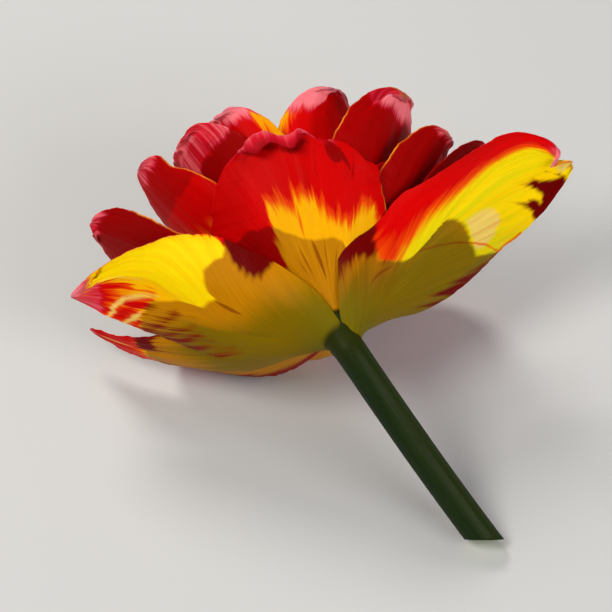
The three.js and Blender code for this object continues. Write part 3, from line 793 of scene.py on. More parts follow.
def blade(petal, p, v, seed):
    """Points of the free blade, before its foot is drawn round the head."""
    turn = math.radians(petal["turn"])
    outward = np.array([math.sin(turn), -math.cos(turn), 0])
    sideways = np.array([math.cos(turn), math.sin(turn), 0])
    axis = np.array([0.0, 0, 1])

    # The midrib, summed from its headings.
    steps = np.linspace(0, 1, MIDRIB_STEPS + 1)
    curl = petal["curl"] * smooth(steps, CURL_FROM, 1)
    angles = np.radians(blend(petal["opening"], steps) + curl)
    headings = np.outer(np.cos(angles), axis) + np.outer(np.sin(angles), outward)
    moves = (headings[1:] + headings[:-1]) / 2 * petal["length"] / MIDRIB_STEPS
    course = np.vstack([np.zeros(3), np.cumsum(moves, axis=0)])
    course += outward * ring_of(petal) + axis * petal["seat"]

    ragged = TIP_WANDER * wander(TIP_WANDERS * v, seed)
    for place, width, depth in petal["notches"]:
        ragged = ragged - depth * np.exp(-(((v - place) / width) ** 2))
    s = np.clip(p * reach(petal, v) + ragged * smooth(p, *TIP_RISE), 0, 1)
    middle = np.stack([np.interp(s, steps, course[:, k]) for k in range(3)], axis=-1)
    open_angle = np.interp(s, steps, angles)[..., None]
    inward = axis * np.sin(open_angle) - outward * np.cos(open_angle)
    roll = np.radians(petal["roll"][0] + (petal["roll"][1] - petal["roll"][0]) * s)[..., None]
    across = sideways * np.cos(roll) + inward * np.sin(roll)
    rise = inward * np.cos(roll) - sideways * np.sin(roll)

    side = np.sign(v)
    cup = np.radians(blend(petal["cup"], s) * (1 + petal["lean"] * side))
    flat = np.sin(cup * np.abs(v)) / cup
    lift = (1 - np.cos(cup * np.abs(v))) / cup
    height, count, left_phase, right_phase = petal["wave"]
    phase = np.radians(np.where(v > 0, right_phase, left_phase))
    wave = height * np.abs(v) ** WAVES_POWER * smooth(s, *WAVES_RISE)
    wave = wave * np.sin(2 * math.pi * count * s + phase)
    shift = SIDE_SHIFT * side
    ruffle = RUFFLE_HEIGHT * np.abs(v) ** RUFFLE_POWER * smooth(s, *RUFFLE_RISE)
    ruffle = ruffle * wander(RUFFLE_COUNT * 2 * math.pi * s + shift, seed + RUFFLE_SEED)

    half = half_width(petal, p) * (1 + petal["skew"] * side)
    ragged = MARGIN_WANDER * wander(MARGIN_WANDERS * s + shift, seed + MARGIN_SEED)
    half = half * (1 + ragged * smooth(p, *MARGIN_RISE)) * swollen(petal, p, v)
    forward, outside = rolled_rim(petal, p, v)
    heading = axis * np.cos(open_angle) + outward * np.sin(open_angle)
    return (
        middle
        + across * (half * side * flat)[..., None]
        + rise * (half * lift + wave + ruffle - outside)[..., None]
        + heading * forward[..., None]
    )


def petal_surface(petal, p, v, seed):
    """Points of the petal's middle surface, in the bloom's own directions."""
    ring = ring_of(petal)
    turn = claw_turn(petal, v)
    height = np.full_like(turn, petal["seat"])
    seat = np.stack([ring * np.sin(turn), -ring * np.cos(turn), height], -1)
    share = 1 - smooth(p, 0, FOOT_SHARE)
    foot = (seat - blade(petal, np.zeros_like(p), v, seed)) * share[..., None]
    return blade(petal, p, v, seed) + foot


def neck_shift(height):
    """How far the stem has bent to the side at a height on the bloom's axis."""
    return NECK_BEND * np.maximum(0, NECK_BEND_FROM - height) ** 2


def neck_rise(height):
    """The stem's own direction at a height, toward the bloom."""
    slope = -2 * NECK_BEND * np.maximum(0, NECK_BEND_FROM - height)
    return np.array([slope, 0, 1]) / math.hypot(slope, 1)


def foot_rows(petal, columns, seed):
    """The rows in which a blade's base sweeps down into the stem's skin."""
    heights, radii = zip(*HEAD_PROFILE)
    v = np.linspace(-1, 1, columns)
    turn = claw_turn(petal, v)
    low = petal["seat"] - petal["foot"]
    ring = np.interp(low, heights, radii) - FOOT_SINK
    start = np.stack([ring * np.sin(turn), -ring * np.cos(turn), np.full(columns, low)], -1)
    start[:, 0] += neck_shift(low)
    end, past = (
        petal_surface(petal, np.full(columns, place), v, seed)
        for place in (FOOT_END, FOOT_END + FOOT_STEP))
    span = FOOT_END + petal["foot"] / petal["length"]
    leave = (past - end) / FOOT_STEP * span
    rise = FOOT_PULL * np.linalg.norm(leave, axis=-1, keepdims=True) * neck_rise(low)
    t = np.linspace(0, 1, FOOT_ROWS, endpoint=False)[:, None, None]
    rows = (1 + 2 * t) * (1 - t) ** 2 * start + t * (1 - t) ** 2 * rise
    rows = rows + t * t * (3 - 2 * t) * end + t * t * (t - 1) * leave
    return rows, FOOT_END - (1 - t[..., 0]) * span + np.zeros(columns)


def normals_of(points):
    """Unit normals of a grid of points, by central differences."""
    along = np.gradient(points, axis=0)
    across = np.gradient(points, axis=1)
    normal = np.cross(along, across)
    return normal / np.maximum(np.linalg.norm(normal, axis=-1, keepdims=True), TINY)


def shell_faces(rows, columns):
    """Faces of a closed shell: two grids of points, joined round their rim."""
    count = rows * columns
    grid = np.arange(count).reshape(rows, columns)
    corners = [grid[:-1, :-1], grid[1:, :-1], grid[1:, 1:], grid[:-1, 1:]]
    front = np.stack(corners, -1).reshape(-1, 4)
    back = front[:, [0, 3, 2, 1]] + count
    rim = np.concatenate([grid[:, 0], grid[-1, 1:], grid[-2::-1, -1], grid[0, -2:0:-1]])
    after = np.roll(rim, -1)
    edge = np.stack([rim, rim + count, after + count, after], -1)
    return np.vstack([front, back, edge]).tolist()


def across_midrib(v, p, midrib):
    """Turns places across the blade into places from its midrib's own course."""
    middle = np.interp(p, *zip(*midrib))
    return np.where(v > middle, (v - middle) / (1 - middle), (v - middle) / (1 + middle))


def vein_course(u, p, fan):
    """A number that stays the same along each vein.

    With no fan the veins run beside the midrib. The higher it is, the more
    steeply they leave it for the margin, like the barbs of a feather.
    """
    if not fan:
        return u
    return (np.abs(u) + fan * (VEIN_BEND * np.sqrt(np.abs(u)) - p / BLADE_RATIO)) / (1 + fan)


def mark_field(marks, u, p):
    """The highest of some marks, or -1 where there is none."""
    return np.max([np.full_like(u, -1)] + [mark(u, p) for mark in marks], axis=0)


def build_petal(name, row, pattern, seed, material):
    """A petal: a thin closed blade with flutes, a midrib and a ragged margin."""
    petal = {**PETAL, **row}
    rows, columns = (faces + 1 for faces in petal["grid"])
    start = FOOT_END if petal["foot"] else 0
    even = np.linspace(0, 1, rows)
    along = start + (1 - start) * (even + (np.sin(even * math.pi / 2) - even) * ROW_EASE)
    p, v = np.meshgrid(along, np.linspace(-1, 1, columns), indexing="ij")
    surface = petal_surface(petal, p, v, seed)
    if petal["foot"]:
        foot, foot_p = foot_rows(petal, columns, seed)
        surface = np.vstack([foot, surface])
        p = np.vstack([foot_p, p])
        v = np.vstack([v[:FOOT_ROWS], v])
        rows += FOOT_ROWS
    surface = surface @ BLOOM.T + NECK
    surface[..., 2] = np.maximum(surface[..., 2], PETAL_THICKNESS / 2)
    normal = normals_of(surface)

    width = half_width(petal, p)
    margin = np.minimum(width * (1 - np.abs(v)), petal["length"] * (1 - p))
    inside = smooth(margin, 0, RIM_TAPER)
    flutes = wander(FLUTE_COUNT * v * (1 - FLUTE_SPREAD * p), seed + FLUTE_SEED, 3)
    flutes = flutes * FLUTE_HEIGHT * smooth(p, *FLUTE_RISE)
    u = across_midrib(v, p, pattern["midrib"])
    groove = GROOVE_DEPTH * np.exp(-((u * width / GROOVE_WIDTH) ** 2))
    groove = groove * smooth(p, *GROOVE_RISE) * (1 - smooth(p, *GROOVE_FALL))
    surface = surface + normal * ((flutes + groove) * inside)[..., None]
    thick = (RIM_THICKNESS + (PETAL_THICKNESS - RIM_THICKNESS) * inside) / 2
    below = smooth(-p * petal["length"], -FOOT_THINS_FROM, petal["foot"])
    thick *= 1 - (1 - FOOT_THICKNESS / PETAL_THICKNESS) * below
    shells = [(surface + face * normal * thick[..., None]).reshape(-1, 3) for face in (1, -1)]

    course = vein_course(u, p, pattern["fan"])
    fields = {"blade": np.stack([course, p, margin], -1)}
    for field, keys in FIELDS.items():
        fields[field] = np.stack([mark_field(pattern[key], u, p) for key in keys], -1)
    fields = {key: np.tile(values.reshape(-1, 3), (2, 1)) for key, values in fields.items()}
    fields["outside"] = np.repeat([0.0, 1.0], u.size)
    faces = shell_faces(rows, columns)
    add_piece(name + "_skin", np.vstack(shells), faces, name, material, fields)


# --- Stem, pistil and stamens ---

STEM_RADIUS = 4.0
STEM_SIDES = 72
STEM_STEPS = 150
STEM_TAPER_SHARE = 0.25
STEM_REACH = np.array([36.75, -39.3, -38.05])  # from the neck to the cut's middle
STEM_START_PULL = 2.5
STEM_END_PULL = 30
STEM_END_HEADING = unit([0.6, -0.53, -0.6])
CUT_NORMAL = unit([0, -0.766, -0.643])
HEAD_ROWS = 40
RIB_COUNT = 11
RIB_HEIGHT = 0.05
RIB_SEEDS = (5, 6)
RIB_RISE = (0.02, 0.2)
CUT_RINGS = 14
ROUNDING = 7  # how many rows of a profile are blended into one

# Heights above the head, the radii there and how deep the three lobes are.
PISTIL_PROFILE = [
    (0, 1.2, 0), (1.2, 1.6, 0.05), (5, 1.8, 0.08), (10, 1.75, 0.1), (13, 1.5, 0.12),
    (14, 1.9, 0.3), (15, 2.9, 0.35), (16.2, 2.7, 0.35), (16.8, 1.5, 0.2),
]
PISTIL = (PISTIL_PROFILE, 90, 96)  # with the rows and columns of its mesh
STAMEN_PROFILE = [
    (0, 0.5, 0), (3, 0.5, 0), (5.6, 0.42, 0), (6.2, 0.8, 0),
    (8, 1.0, 0), (11, 0.95, 0), (13, 0.7, 0), (13.8, 0.35, 0),
]
STAMEN = (STAMEN_PROFILE, 60, 40)
STAMEN_COUNT = 6
STAMEN_RING = 2.7  # how far they stand off the axis
STAMEN_LEAN = 0.011  # how much they bend outward, per millimetre squared
ANTHER_FROM = 5.6  # height where the filament becomes the anther
HEAD_TOP = HEAD_PROFILE[-1][0] + SEAT_GAP


def finer(profile, count):
    """A profile with count rows, rounded between its own rows."""
    rows = np.array(profile, dtype=float)
    steps = np.linalg.norm(np.diff(rows[:, :2], axis=0), axis=1)
    length = np.concatenate([[0], np.cumsum(steps)])
    at = np.linspace(0, length[-1], count)
    dense = np.stack([np.interp(at, length, column) for column in rows.T], -1)
    kernel = np.hanning(ROUNDING) / np.hanning(ROUNDING).sum()
    beyond = ROUNDING // 2
    padded = np.vstack([dense[:1]] * beyond + [dense] + [dense[-1:]] * beyond)
    soft = np.stack([np.convolve(column, kernel, "valid") for column in padded.T], -1)
    soft[[0, -1]] = dense[[0, -1]]
    return soft


def tube(centres, headings, radii, sides, end_rings=1):
    """Rings of points round a course, with both ends closed by smaller rings.

    radii has a row for each place of the course and a column for each side.
    Returns the points, the faces, and for each point its turn, its place on
    the course and its share of the radius, which is below 1 only on the ends.
    """
    side = np.array([1.0, 0, 0])
    angle = np.linspace(0, 2 * math.pi, sides, endpoint=False)
    frames = []
    for heading in headings:
        side = side - heading * side.dot(heading)
        side = side / np.linalg.norm(side)
        frames.append((side, np.cross(heading, side)))
    last = len(centres) - 1
    rings = [(0, 0.5)] + [(i, 1.0) for i in range(last + 1)]
    rings += [(last, 1 - (k + 1) / (end_rings + 1)) for k in range(end_rings)]
    points, facts = [], []
    for i, share in rings:
        u, w = frames[i]
        spokes = np.outer(np.cos(angle), u) + np.outer(np.sin(angle), w)
        points.append(centres[i] + spokes * (radii[i] * share)[:, None])
        places = [angle / (2 * math.pi), np.full(sides, i), np.full(sides, share)]
        facts.append(np.stack(places, -1))
    points = np.vstack(points + [centres[:1], centres[-1:]])
    facts = np.vstack(facts + [[[0, 0, 0], [0, last, 0]]])
    grid = np.arange(len(rings) * sides).reshape(-1, sides)
    after = np.roll(grid, -1, axis=1)
    faces = np.stack([grid[:-1], after[:-1], after[1:], grid[1:]], -1).reshape(-1, 4).tolist()
    for j in range(sides):
        faces.append((grid.size, after[0, j], j))
        faces.append((grid.size + 1, grid[-1, j], after[-1, j]))
    return points, faces, facts


def build_stem(material):
    """The head, the bend and the shaft in one body, with a flat slanted cut."""
    side, _, axis = BLOOM.T
    low = HEAD_PROFILE[0][0]
    bend = [low * axis + neck_shift(low) * side]
    bend.append(bend[0] - STEM_START_PULL * BLOOM @ neck_rise(low))
    bend.append(STEM_REACH - STEM_END_PULL * STEM_END_HEADING)
    bend.append(STEM_REACH)
    t = np.linspace(0, 1, STEM_STEPS + 1)
    shaft = np.stack([blend([b[k] for b in bend], t) for k in range(3)], -1)
    head = finer(HEAD_PROFILE[::-1], HEAD_ROWS)[:-1]
    centres = np.vstack([head[:, :1] * axis + neck_shift(head[:, :1]) * side, shaft])
    headings = np.gradient(centres, axis=0)
    headings /= np.linalg.norm(headings, axis=1, keepdims=True)
    start = HEAD_PROFILE[0][1]
    taper = start + (STEM_RADIUS - start) * np.minimum(1, t / STEM_TAPER_SHARE)
    radius = np.concatenate([head[:, 1], taper])
    angle = np.linspace(0, 2 * math.pi, STEM_SIDES, endpoint=False)
    ribs = wander(RIB_COUNT * np.cos(angle), RIB_SEEDS[0])
    ribs = RIB_HEIGHT * (ribs + wander(RIB_COUNT * np.sin(angle), RIB_SEEDS[1]))
    from_neck = np.concatenate([np.zeros(len(head)), smooth(t, *RIB_RISE)])
    radii = radius[:, None] + from_neck[:, None] * ribs
    points, faces, facts = tube(centres, headings, radii, STEM_SIDES, end_rings=CUT_RINGS)
    on_cut = facts[:, 1] == len(centres) - 1
    off = (points - STEM_REACH) @ CUT_NORMAL
    slide = np.outer(off / STEM_END_HEADING.dot(CUT_NORMAL), STEM_END_HEADING)
    points = np.where((on_cut | (off > 0))[:, None], points - slide, points)
    points[:, 2] = np.maximum(points[:, 2], -NECK[2])
    length = np.linspace(0, 1, len(centres))[facts[:, 1].astype(int)]
    share = np.where(on_cut, facts[:, 2], 1)
    fields = {"skin": np.stack([facts[:, 0], length, share], -1)}
    add_piece("stem_skin", points + NECK, faces, "stem", material, fields)


def build_on_head(node, shape, ring, lean, material):
    """A body that rises from the head along the bloom's axis, or bends away from it."""
    profile, rows, sides = shape
    foot = ring + [0, 0, HEAD_TOP]
    heights, radius, lobing = finer(profile, rows).T
    centres = np.outer(heights, [0, 0, 1]) + np.outer(heights**2, lean) + foot
    headings = np.tile([0.0, 0, 1], (rows, 1))
    angle = np.linspace(0, 2 * math.pi, sides, endpoint=False)
    radii = radius[:, None] * (1 + lobing[:, None] * np.cos(3 * angle))
    points, faces, facts = tube(centres, headings, radii, sides)
    height = heights[facts[:, 1].astype(int)]
    fields = {"skin": np.stack([facts[:, 0], height, facts[:, 2]], -1)}
    add_piece(node + "_body", points @ BLOOM.T + NECK, faces, node, material, fields)


# --- Shader helpers ---

NOISE_ROUGHNESS = 0.55


class Shelf:
    """Puts nodes into a tree and links them."""

    def __init__(self, tree):
        self.tree = tree

    def plug(self, socket, value):
        """Links a socket to another, or sets its own value."""
        if isinstance(value, bpy.types.NodeSocket):
            self.tree.links.new(value, socket)
        elif socket.type == "RGBA" and len(value) == 3:
            socket.default_value = (*value, 1)
        else:
            socket.default_value = value

    def node(self, kind, settings=None, **inputs):
        """A node with its settings and inputs; spaces in names are given as _."""
        node = self.tree.nodes.new(kind)
        for key, value in (settings or {}).items():
            setattr(node, key, value)
        for key, value in inputs.items():
            self.plug(node.inputs[key.replace("_", " ")], value)
        return node

    def math(self, operation, a, b=0.0):
        node = self.node("ShaderNodeMath", {"operation": operation})
        self.plug(node.inputs[0], a)
        self.plug(node.inputs[1], b)
        return node.outputs[0]

    def times(self, a, b):
        return self.math("MULTIPLY", a, b)

    def plus(self, a, b):
        return self.math("ADD", a, b)

    def minus(self, a, b):
        return self.math("SUBTRACT", a, b)

    def blend(self, factor, a, b):
        """A colour between a and b."""
        node = self.node("ShaderNodeMix", {"data_type": "RGBA"})
        self.plug(node.inputs[0], factor)
        self.plug(node.inputs[6], a)
        self.plug(node.inputs[7], b)
        return node.outputs[2]

    def between(self, factor, a, b):
        """A number between a and b."""
        node = self.node("ShaderNodeMix", {"data_type": "FLOAT"})
        self.plug(node.inputs[0], factor)
        self.plug(node.inputs[2], a)
        self.plug(node.inputs[3], b)
        return node.outputs[0]

    def soft(self, value, start, end):
        """Rises softly from 0 at start to 1 at end, or falls if end is lower."""
        rises = start < end
        node = self.node(
            "ShaderNodeMapRange", {"interpolation_type": "SMOOTHSTEP"}, Value=value,
            From_Min=min(start, end), From_Max=max(start, end),
            To_Min=0.0 if rises else 1.0, To_Max=1.0 if rises else 0.0)
        return node.outputs[0]

    def noise(self, vector, scale, detail=3.0):
        """Noise about zero, from about -0.5 to 0.5."""
        node = self.node(
            "ShaderNodeTexNoise", Vector=vector, Scale=scale, Detail=detail,
            Roughness=NOISE_ROUGHNESS)
        return self.minus(node.outputs[0], 0.5)

    def place(self):
        """A place on the piece, in metres."""
        return self.node("ShaderNodeTexCoord").outputs["Object"]

    def stored(self, name, output="Vector"):
        """What a mesh stores under a name."""
        return self.node("ShaderNodeAttribute", {"attribute_name": name}).outputs[output]

    def bump(self, strength, distance, height):
        """A normal that follows a height."""
        node = self.node("ShaderNodeBump", Strength=strength, Distance=distance, Height=height)
        return node.outputs[0]

    def split(self, vector):
        return self.node("ShaderNodeSeparateXYZ", Vector=vector).outputs

    def join(self, x, y, z):
        return self.node("ShaderNodeCombineXYZ", X=x, Y=y, Z=z).outputs[0]


def new_group(name, inputs, outputs):
    """A shader node group. Returns its shelf, its inputs and its output node."""
    tree = bpy.data.node_groups.new(name, "ShaderNodeTree")
    for way, sockets in (("INPUT", inputs), ("OUTPUT", outputs)):
        for label, kind in sockets.items():
            tree.interface.new_socket(label, in_out=way, socket_type="NodeSocket" + kind)
    given = tree.nodes.new("NodeGroupInput").outputs
    return Shelf(tree), given, tree.nodes.new("NodeGroupOutput").inputs


def use_group(shelf, tree, values):
    """Places a group in a tree and gives it its values."""
    node = shelf.node("ShaderNodeGroup", {"node_tree": tree})
    for label, value in values.items():
        shelf.plug(node.inputs[label], value)
    return node.outputs


# --- Effects ---

VEIN_SPREAD = 0.6  # how much the veins fan out toward the tip
FINE_VEINS = 30
BROAD_VEINS = 8
# The two kinds of streaks: each one's change along a piece, detail and own seed.
GRAINS = (("Fine", 2.4, 4.0, 0.0), ("Broad", 1.5, 2.0, 31.0))


def long_grain_group():
    """Streaks that run along a piece: fine ones and broad ones."""
    shelf, given, result = new_group(
        "long_grain",
        dict.fromkeys(("Across", "Along", "Fine", "Broad", "Seed"), "Float"),
        dict.fromkeys(("Fine", "Broad"), "Float"),
    )
    for label, change, detail, seed in GRAINS:
        across = shelf.times(given["Across"], given[label])
        along = shelf.times(given["Along"], change)
        place = shelf.join(across, along, shelf.plus(given["Seed"], seed))
        shelf.plug(result[label], shelf.noise(place, 1.0, detail))
    return shelf.tree


LONG_GRAIN = long_grain_group()

RED = (0.62, 0.0, 0.0)
# Deep red: deeper inside the red, along some veins and in the painted shade.
DEEP_RED = (0.17, 0.0, 0.0)
# Dark red: the dark marks, one of them painted shade near the right outer petal's claw.
DARK_RED = (0.14, 0.0, 0.0)
CRIMSON = (0.6, 0.008, 0.03)
# Pink: the rims' own tint and a painted sheen highlight on rims and folds.
PINK = (0.93, 0.19, 0.22)
SALMON = (0.75, 0.2, 0.05)
ORANGE = (0.78, 0.05, 0.0)
# The orange of the halo and the thin veins, in the painted shade.
SHADED_ORANGE = (0.21, 0.034, 0.0)
AMBER = (0.92, 0.4, 0.0)
GOLD = (0.9, 0.3, 0.02)
YELLOW = (1.0, 0.66, 0.0)
LIME = (0.68, 0.62, 0.0)
CREAM = (0.87, 0.62, 0.14)
# The yellow in the painted shade: ochre, and olive where the green mark lies.
SHADED_OCHRE = (0.5, 0.19, 0.0)
OLIVE = (0.2, 0.125, 0.0)
FOOT_OLIVE = (0.17, 0.125, 0.002)
NECK_GREEN = (0.018, 0.023, 0.001)

# How ragged the border of each mark is, and how soft.
BORDERS = {
    "shade": (0.08, 0.02),
    "green": (0.6, 0.16),
    "warm": (0.8, 0.16),
    "orange": (1.2, 0.12),
    "cream": (0.1, 0.014),
    "dark": (0.1, 0.018),
    "vein": (0.02, 0.004),
    "crimson": (0.25, 0.03),
    "pink": (0.3, 0.04),
}
RED_BORDER = (-0.015, 0.03)
CLAW = (0.14, -0.01)  # where along the blade the olive of its foot begins and is full
NECK_BORDER = (-0.02, 0.015)
LINING = (0.5, 0.05)  # millimetres from the margin, where gold begins and is full
OUTER_SHARE = 0.3  # how much of a border's softness lies outside its mark
BROAD_SHARE = 1.2  # of the broad streaks, next to the fine ones
RAGGEDNESS = 1.6
# How strong these are.
WARMTH = 0.75
PALE_STREAKS = 0.3
RED_STREAKS = 0.35
RED_DEPTH = 0.25
SALMON_STREAKS = 0.6
THREAD = 0.75
INSIDE_BRIGHTNESS = 0.15
# How strong these are in the light and in the painted shade.
HALO = (1.0, 0.4)
ORANGE_BORDER = (0.75, 0.1)
CREAM_COVER = (0.92, 0.25)
ORANGE_DEPTH = (0.22, 0.4)  # how far inside the warm mark orange begins and stops rising
PINK_DEPTH = 0.02  # how far inside its mark the crimson border turns pink
ROUGHNESS = 0.48
GRAIN_SEED_STEP = 3.7  # from one petal's streaks to the next one's
FEEL = ("Streaks", "Heat", "Glow", "Neck", "Olive", "Dusk", "Seed")  # a pattern's numbers


def flamed_blade_group():
    """A petal's colours: yellow and red, feathered along its veins."""
    shelf, given, result = new_group(
        "flamed_blade",
        {**dict.fromkeys(("Blade", "Marks", "Tones", "Trims"), "Vector"),
         **dict.fromkeys(("Outside", *FEEL), "Float")},
        {"Color": "Color", "Roughness": "Float", "Relief": "Float"},
    )
    vein, p, margin = shelf.split(given["Blade"])
    red_mark, dark_mark, cream_mark = shelf.split(given["Marks"])
    pink_and_sheen_mark, green_mark, shade_mark = shelf.split(given["Tones"])
    gold_mark, warm_mark, vein_mark = shelf.split(given["Trims"])
    fan = shelf.minus(1.0, shelf.times(shelf.math("POWER", p, 2.0), VEIN_SPREAD))
    fine, broad = use_group(shelf, LONG_GRAIN, {
        "Across": shelf.times(vein, fan), "Along": p,
        "Fine": FINE_VEINS, "Broad": BROAD_VEINS, "Seed": given["Seed"]})
    streak = shelf.plus(fine, shelf.times(broad, BROAD_SHARE))
    ragged = shelf.times(streak, shelf.times(given["Streaks"], RAGGEDNESS))

    def feathered(key, mark):
        """How far a place is inside a mark whose border is feathered by the veins."""
        raggedness, softness = BORDERS[key]
        border = shelf.plus(mark, shelf.times(ragged, raggedness))
        return shelf.soft(border, -OUTER_SHARE * softness, softness)

    field = shelf.plus(red_mark, ragged)
    in_glows = shelf.math("DIVIDE", field, given["Glow"])
    red = shelf.soft(field, *RED_BORDER)
    shade = feathered("shade", shade_mark)
    green = feathered("green", green_mark)

    # Yellow ground, nearer to orange or to green, deeper in its painted shade.
    light = shelf.blend(shelf.soft(broad, -0.1, 0.5), YELLOW, AMBER)
    light = shelf.blend(shelf.times(feathered("warm", warm_mark), WARMTH), light, AMBER)
    low, high = ORANGE_DEPTH
    warmer = shelf.minus(shelf.math("MINIMUM", warm_mark, high), low)
    light = shelf.blend(shelf.times(feathered("orange", warmer), given["Heat"]), light, ORANGE)
    light = shelf.blend(shelf.times(green, shelf.soft(fine, -0.25, 0.15)), light, LIME)
    deep = shelf.blend(green, SHADED_OCHRE, OLIVE)
    pale = shelf.times(shelf.soft(fine, -0.1, 0.35), PALE_STREAKS)
    deep = shelf.blend(pale, deep, shelf.blend(green, AMBER, SHADED_OCHRE))
    color = shelf.blend(shade, light, deep)
    halo = shelf.times(shelf.soft(in_glows, -1.0, 0.0), shelf.between(shade, *HALO))
    color = shelf.blend(halo, color, shelf.blend(shade, ORANGE, SHADED_ORANGE))

    # Red over it, deeper inside, in its painted shade and along some veins.
    lines = shelf.times(shelf.soft(fine, 0.1, 0.25), RED_STREAKS)
    depth = shelf.times(shelf.soft(field, 0.15, 0.7), RED_DEPTH)
    dusk = shelf.times(shade, given["Dusk"])
    depth = shelf.math("MAXIMUM", shelf.math("MAXIMUM", depth, lines), dusk)
    border = shelf.times(shelf.soft(in_glows, 0.6, 0.05), shelf.between(shade, *ORANGE_BORDER))
    deep_red = shelf.blend(depth, RED, DEEP_RED)
    color = shelf.blend(red, color, shelf.blend(border, deep_red, ORANGE))

    # Cream, dark red, thin veins and the olive and green of the foot.
    salmon = shelf.times(shelf.soft(fine, 0.0, 0.3), SALMON_STREAKS)
    cream = shelf.times(feathered("cream", cream_mark), shelf.between(shade, *CREAM_COVER))
    color = shelf.blend(cream, color, shelf.blend(salmon, CREAM, SALMON))
    color = shelf.blend(feathered("dark", dark_mark), color, DARK_RED)
    thread = shelf.times(feathered("vein", vein_mark), THREAD)
    color = shelf.blend(thread, color, shelf.blend(shade, ORANGE, SHADED_ORANGE))
    claw = shelf.times(shelf.soft(p, *CLAW), given["Olive"])
    color = shelf.blend(claw, color, FOOT_OLIVE)
    past_neck = shelf.minus(given["Neck"], p)
    color = shelf.blend(shelf.soft(past_neck, *NECK_BORDER), color, NECK_GREEN)

    # Pink and gold on the margin; the pink is partly the petals' own tint and partly a painted
    # sheen highlight on rims and folds.
    color = shelf.blend(feathered("crimson", pink_and_sheen_mark), color, CRIMSON)
    color = shelf.blend(feathered("pink", shelf.minus(pink_and_sheen_mark, PINK_DEPTH)), color, PINK)
    lining = shelf.times(shelf.soft(margin, *LINING), shelf.soft(gold_mark, 0.0, 0.05))
    color = shelf.blend(shelf.times(lining, shelf.soft(broad, -0.2, 0.25)), color, GOLD)

    # The inside is a little brighter, because nothing thickens it there.
    inner = shelf.times(shelf.minus(1.0, given["Outside"]), INSIDE_BRIGHTNESS)
    color = shelf.blend(shelf.times(inner, red), color, CRIMSON)

    shelf.plug(result["Color"], color)
    shelf.plug(result["Roughness"], shelf.plus(ROUGHNESS, shelf.times(fine, 0.3)))
    shelf.plug(result["Relief"], shelf.plus(fine, shelf.times(broad, 0.8)))
    return shelf.tree


FLAMED_BLADE = flamed_blade_group()


# --- Materials ---

# How many spots each of these has per metre.
WAX_SPOTS = 90.0
STIGMA_DOWN = 2600.0
POLLEN_GRAINS = 3200.0
FLOOR_SPOTS = 3.0

STEM_OLIVE_TURN = 1.2  # where round the stem its olive side begins
STEM_GREEN = (0.006, 0.017, 0.005)
STEM_OLIVE = (0.013, 0.02, 0.001)
STEM_STREAK = (0.018, 0.03, 0.005)
STEM_WAX = (0.05, 0.08, 0.03)
CUT_MIDDLE = (0.62, 0.66, 0.36)
CUT_RIM = (0.4, 0.5, 0.14)
OVARY_GREEN = (0.33, 0.42, 0.09)
OVARY_PALE = (0.5, 0.56, 0.17)
STIGMA_CREAM = (0.8, 0.68, 0.3)
STIGMA_RISE = (12.5, 14.5)  # the heights between which the ovary turns into it
ANTHER_BLACK = (0.022, 0.009, 0.016)
POLLEN = (0.24, 0.13, 0.03)
FILAMENT_FOOT = (0.55, 0.5, 0.12)
FILAMENT_TOP = (0.12, 0.05, 0.03)


def new_material(name, **values):
    """A material whose Principled shader has these values, named as in Shelf.node.

    Returns the material, its shelf and the shader's inputs.
    """
    material = bpy.data.materials.new(name)
    material.use_nodes = True
    tree = material.node_tree
    tree.nodes.clear()
    shelf = Shelf(tree)
    shader = shelf.node("ShaderNodeBsdfPrincipled", **values)
    output = shelf.node("ShaderNodeOutputMaterial")
    tree.links.new(shader.outputs[0], output.inputs[0])
    return material, shelf, shader.inputs


def petal_material(name, pattern):
    """Satin, slightly see-through petal skin with that pattern."""
    material, shelf, skin = new_material(
        name + "_finish", Subsurface_Weight=0.45, Subsurface_Radius=(1.0, 0.42, 0.12),
        Subsurface_Scale=0.001, Specular_IOR_Level=0.035)
    look = use_group(shelf, FLAMED_BLADE, {
        **{key.title(): shelf.stored(key) for key in ("blade", *FIELDS)},
        "Outside": shelf.stored("outside", "Fac"),
        **{label: pattern[label.lower()] for label in FEEL}})
    shelf.plug(skin["Base Color"], look["Color"])
    shelf.plug(skin["Roughness"], look["Roughness"])
    shelf.plug(skin["Normal"], shelf.bump(0.5, 0.00025, look["Relief"]))
    return material


def stem_material():
    """Green skin with a waxy bloom, and a pale wet cut."""
    material, shelf, skin = new_material(
        "stem_finish", Subsurface_Weight=0.12, Subsurface_Radius=(0.5, 0.8, 0.2),
        Subsurface_Scale=0.002, Specular_IOR_Level=0.07)
    turn, length, share = shelf.split(shelf.stored("skin"))
    angle = shelf.times(turn, 2 * math.pi)
    fine, _ = use_group(shelf, LONG_GRAIN, {
        "Across": shelf.math("SINE", angle), "Along": length, "Fine": 22, "Broad": 4, "Seed": 3})
    left = shelf.soft(shelf.math("SINE", shelf.plus(angle, STEM_OLIVE_TURN)), -0.5, 0.5)
    color = shelf.blend(left, STEM_GREEN, STEM_OLIVE)
    color = shelf.blend(shelf.soft(fine, -0.2, 0.25), color, STEM_STREAK)
    color = shelf.blend(shelf.soft(length, 0.4, 0.15), color, NECK_GREEN)
    wax = shelf.soft(shelf.noise(shelf.place(), WAX_SPOTS), -0.05, 0.3)
    color = shelf.blend(shelf.times(wax, 0.06), color, STEM_WAX)
    pith = shelf.blend(shelf.soft(share, 0.2, 0.75), CUT_MIDDLE, CUT_RIM)
    color = shelf.blend(shelf.soft(share, 0.995, 0.97), color, pith)
    shelf.plug(skin["Base Color"], color)
    shelf.plug(skin["Roughness"], shelf.between(wax, 0.42, 0.6))
    shelf.plug(skin["Normal"], shelf.bump(0.4, 0.0002, fine))
    return material


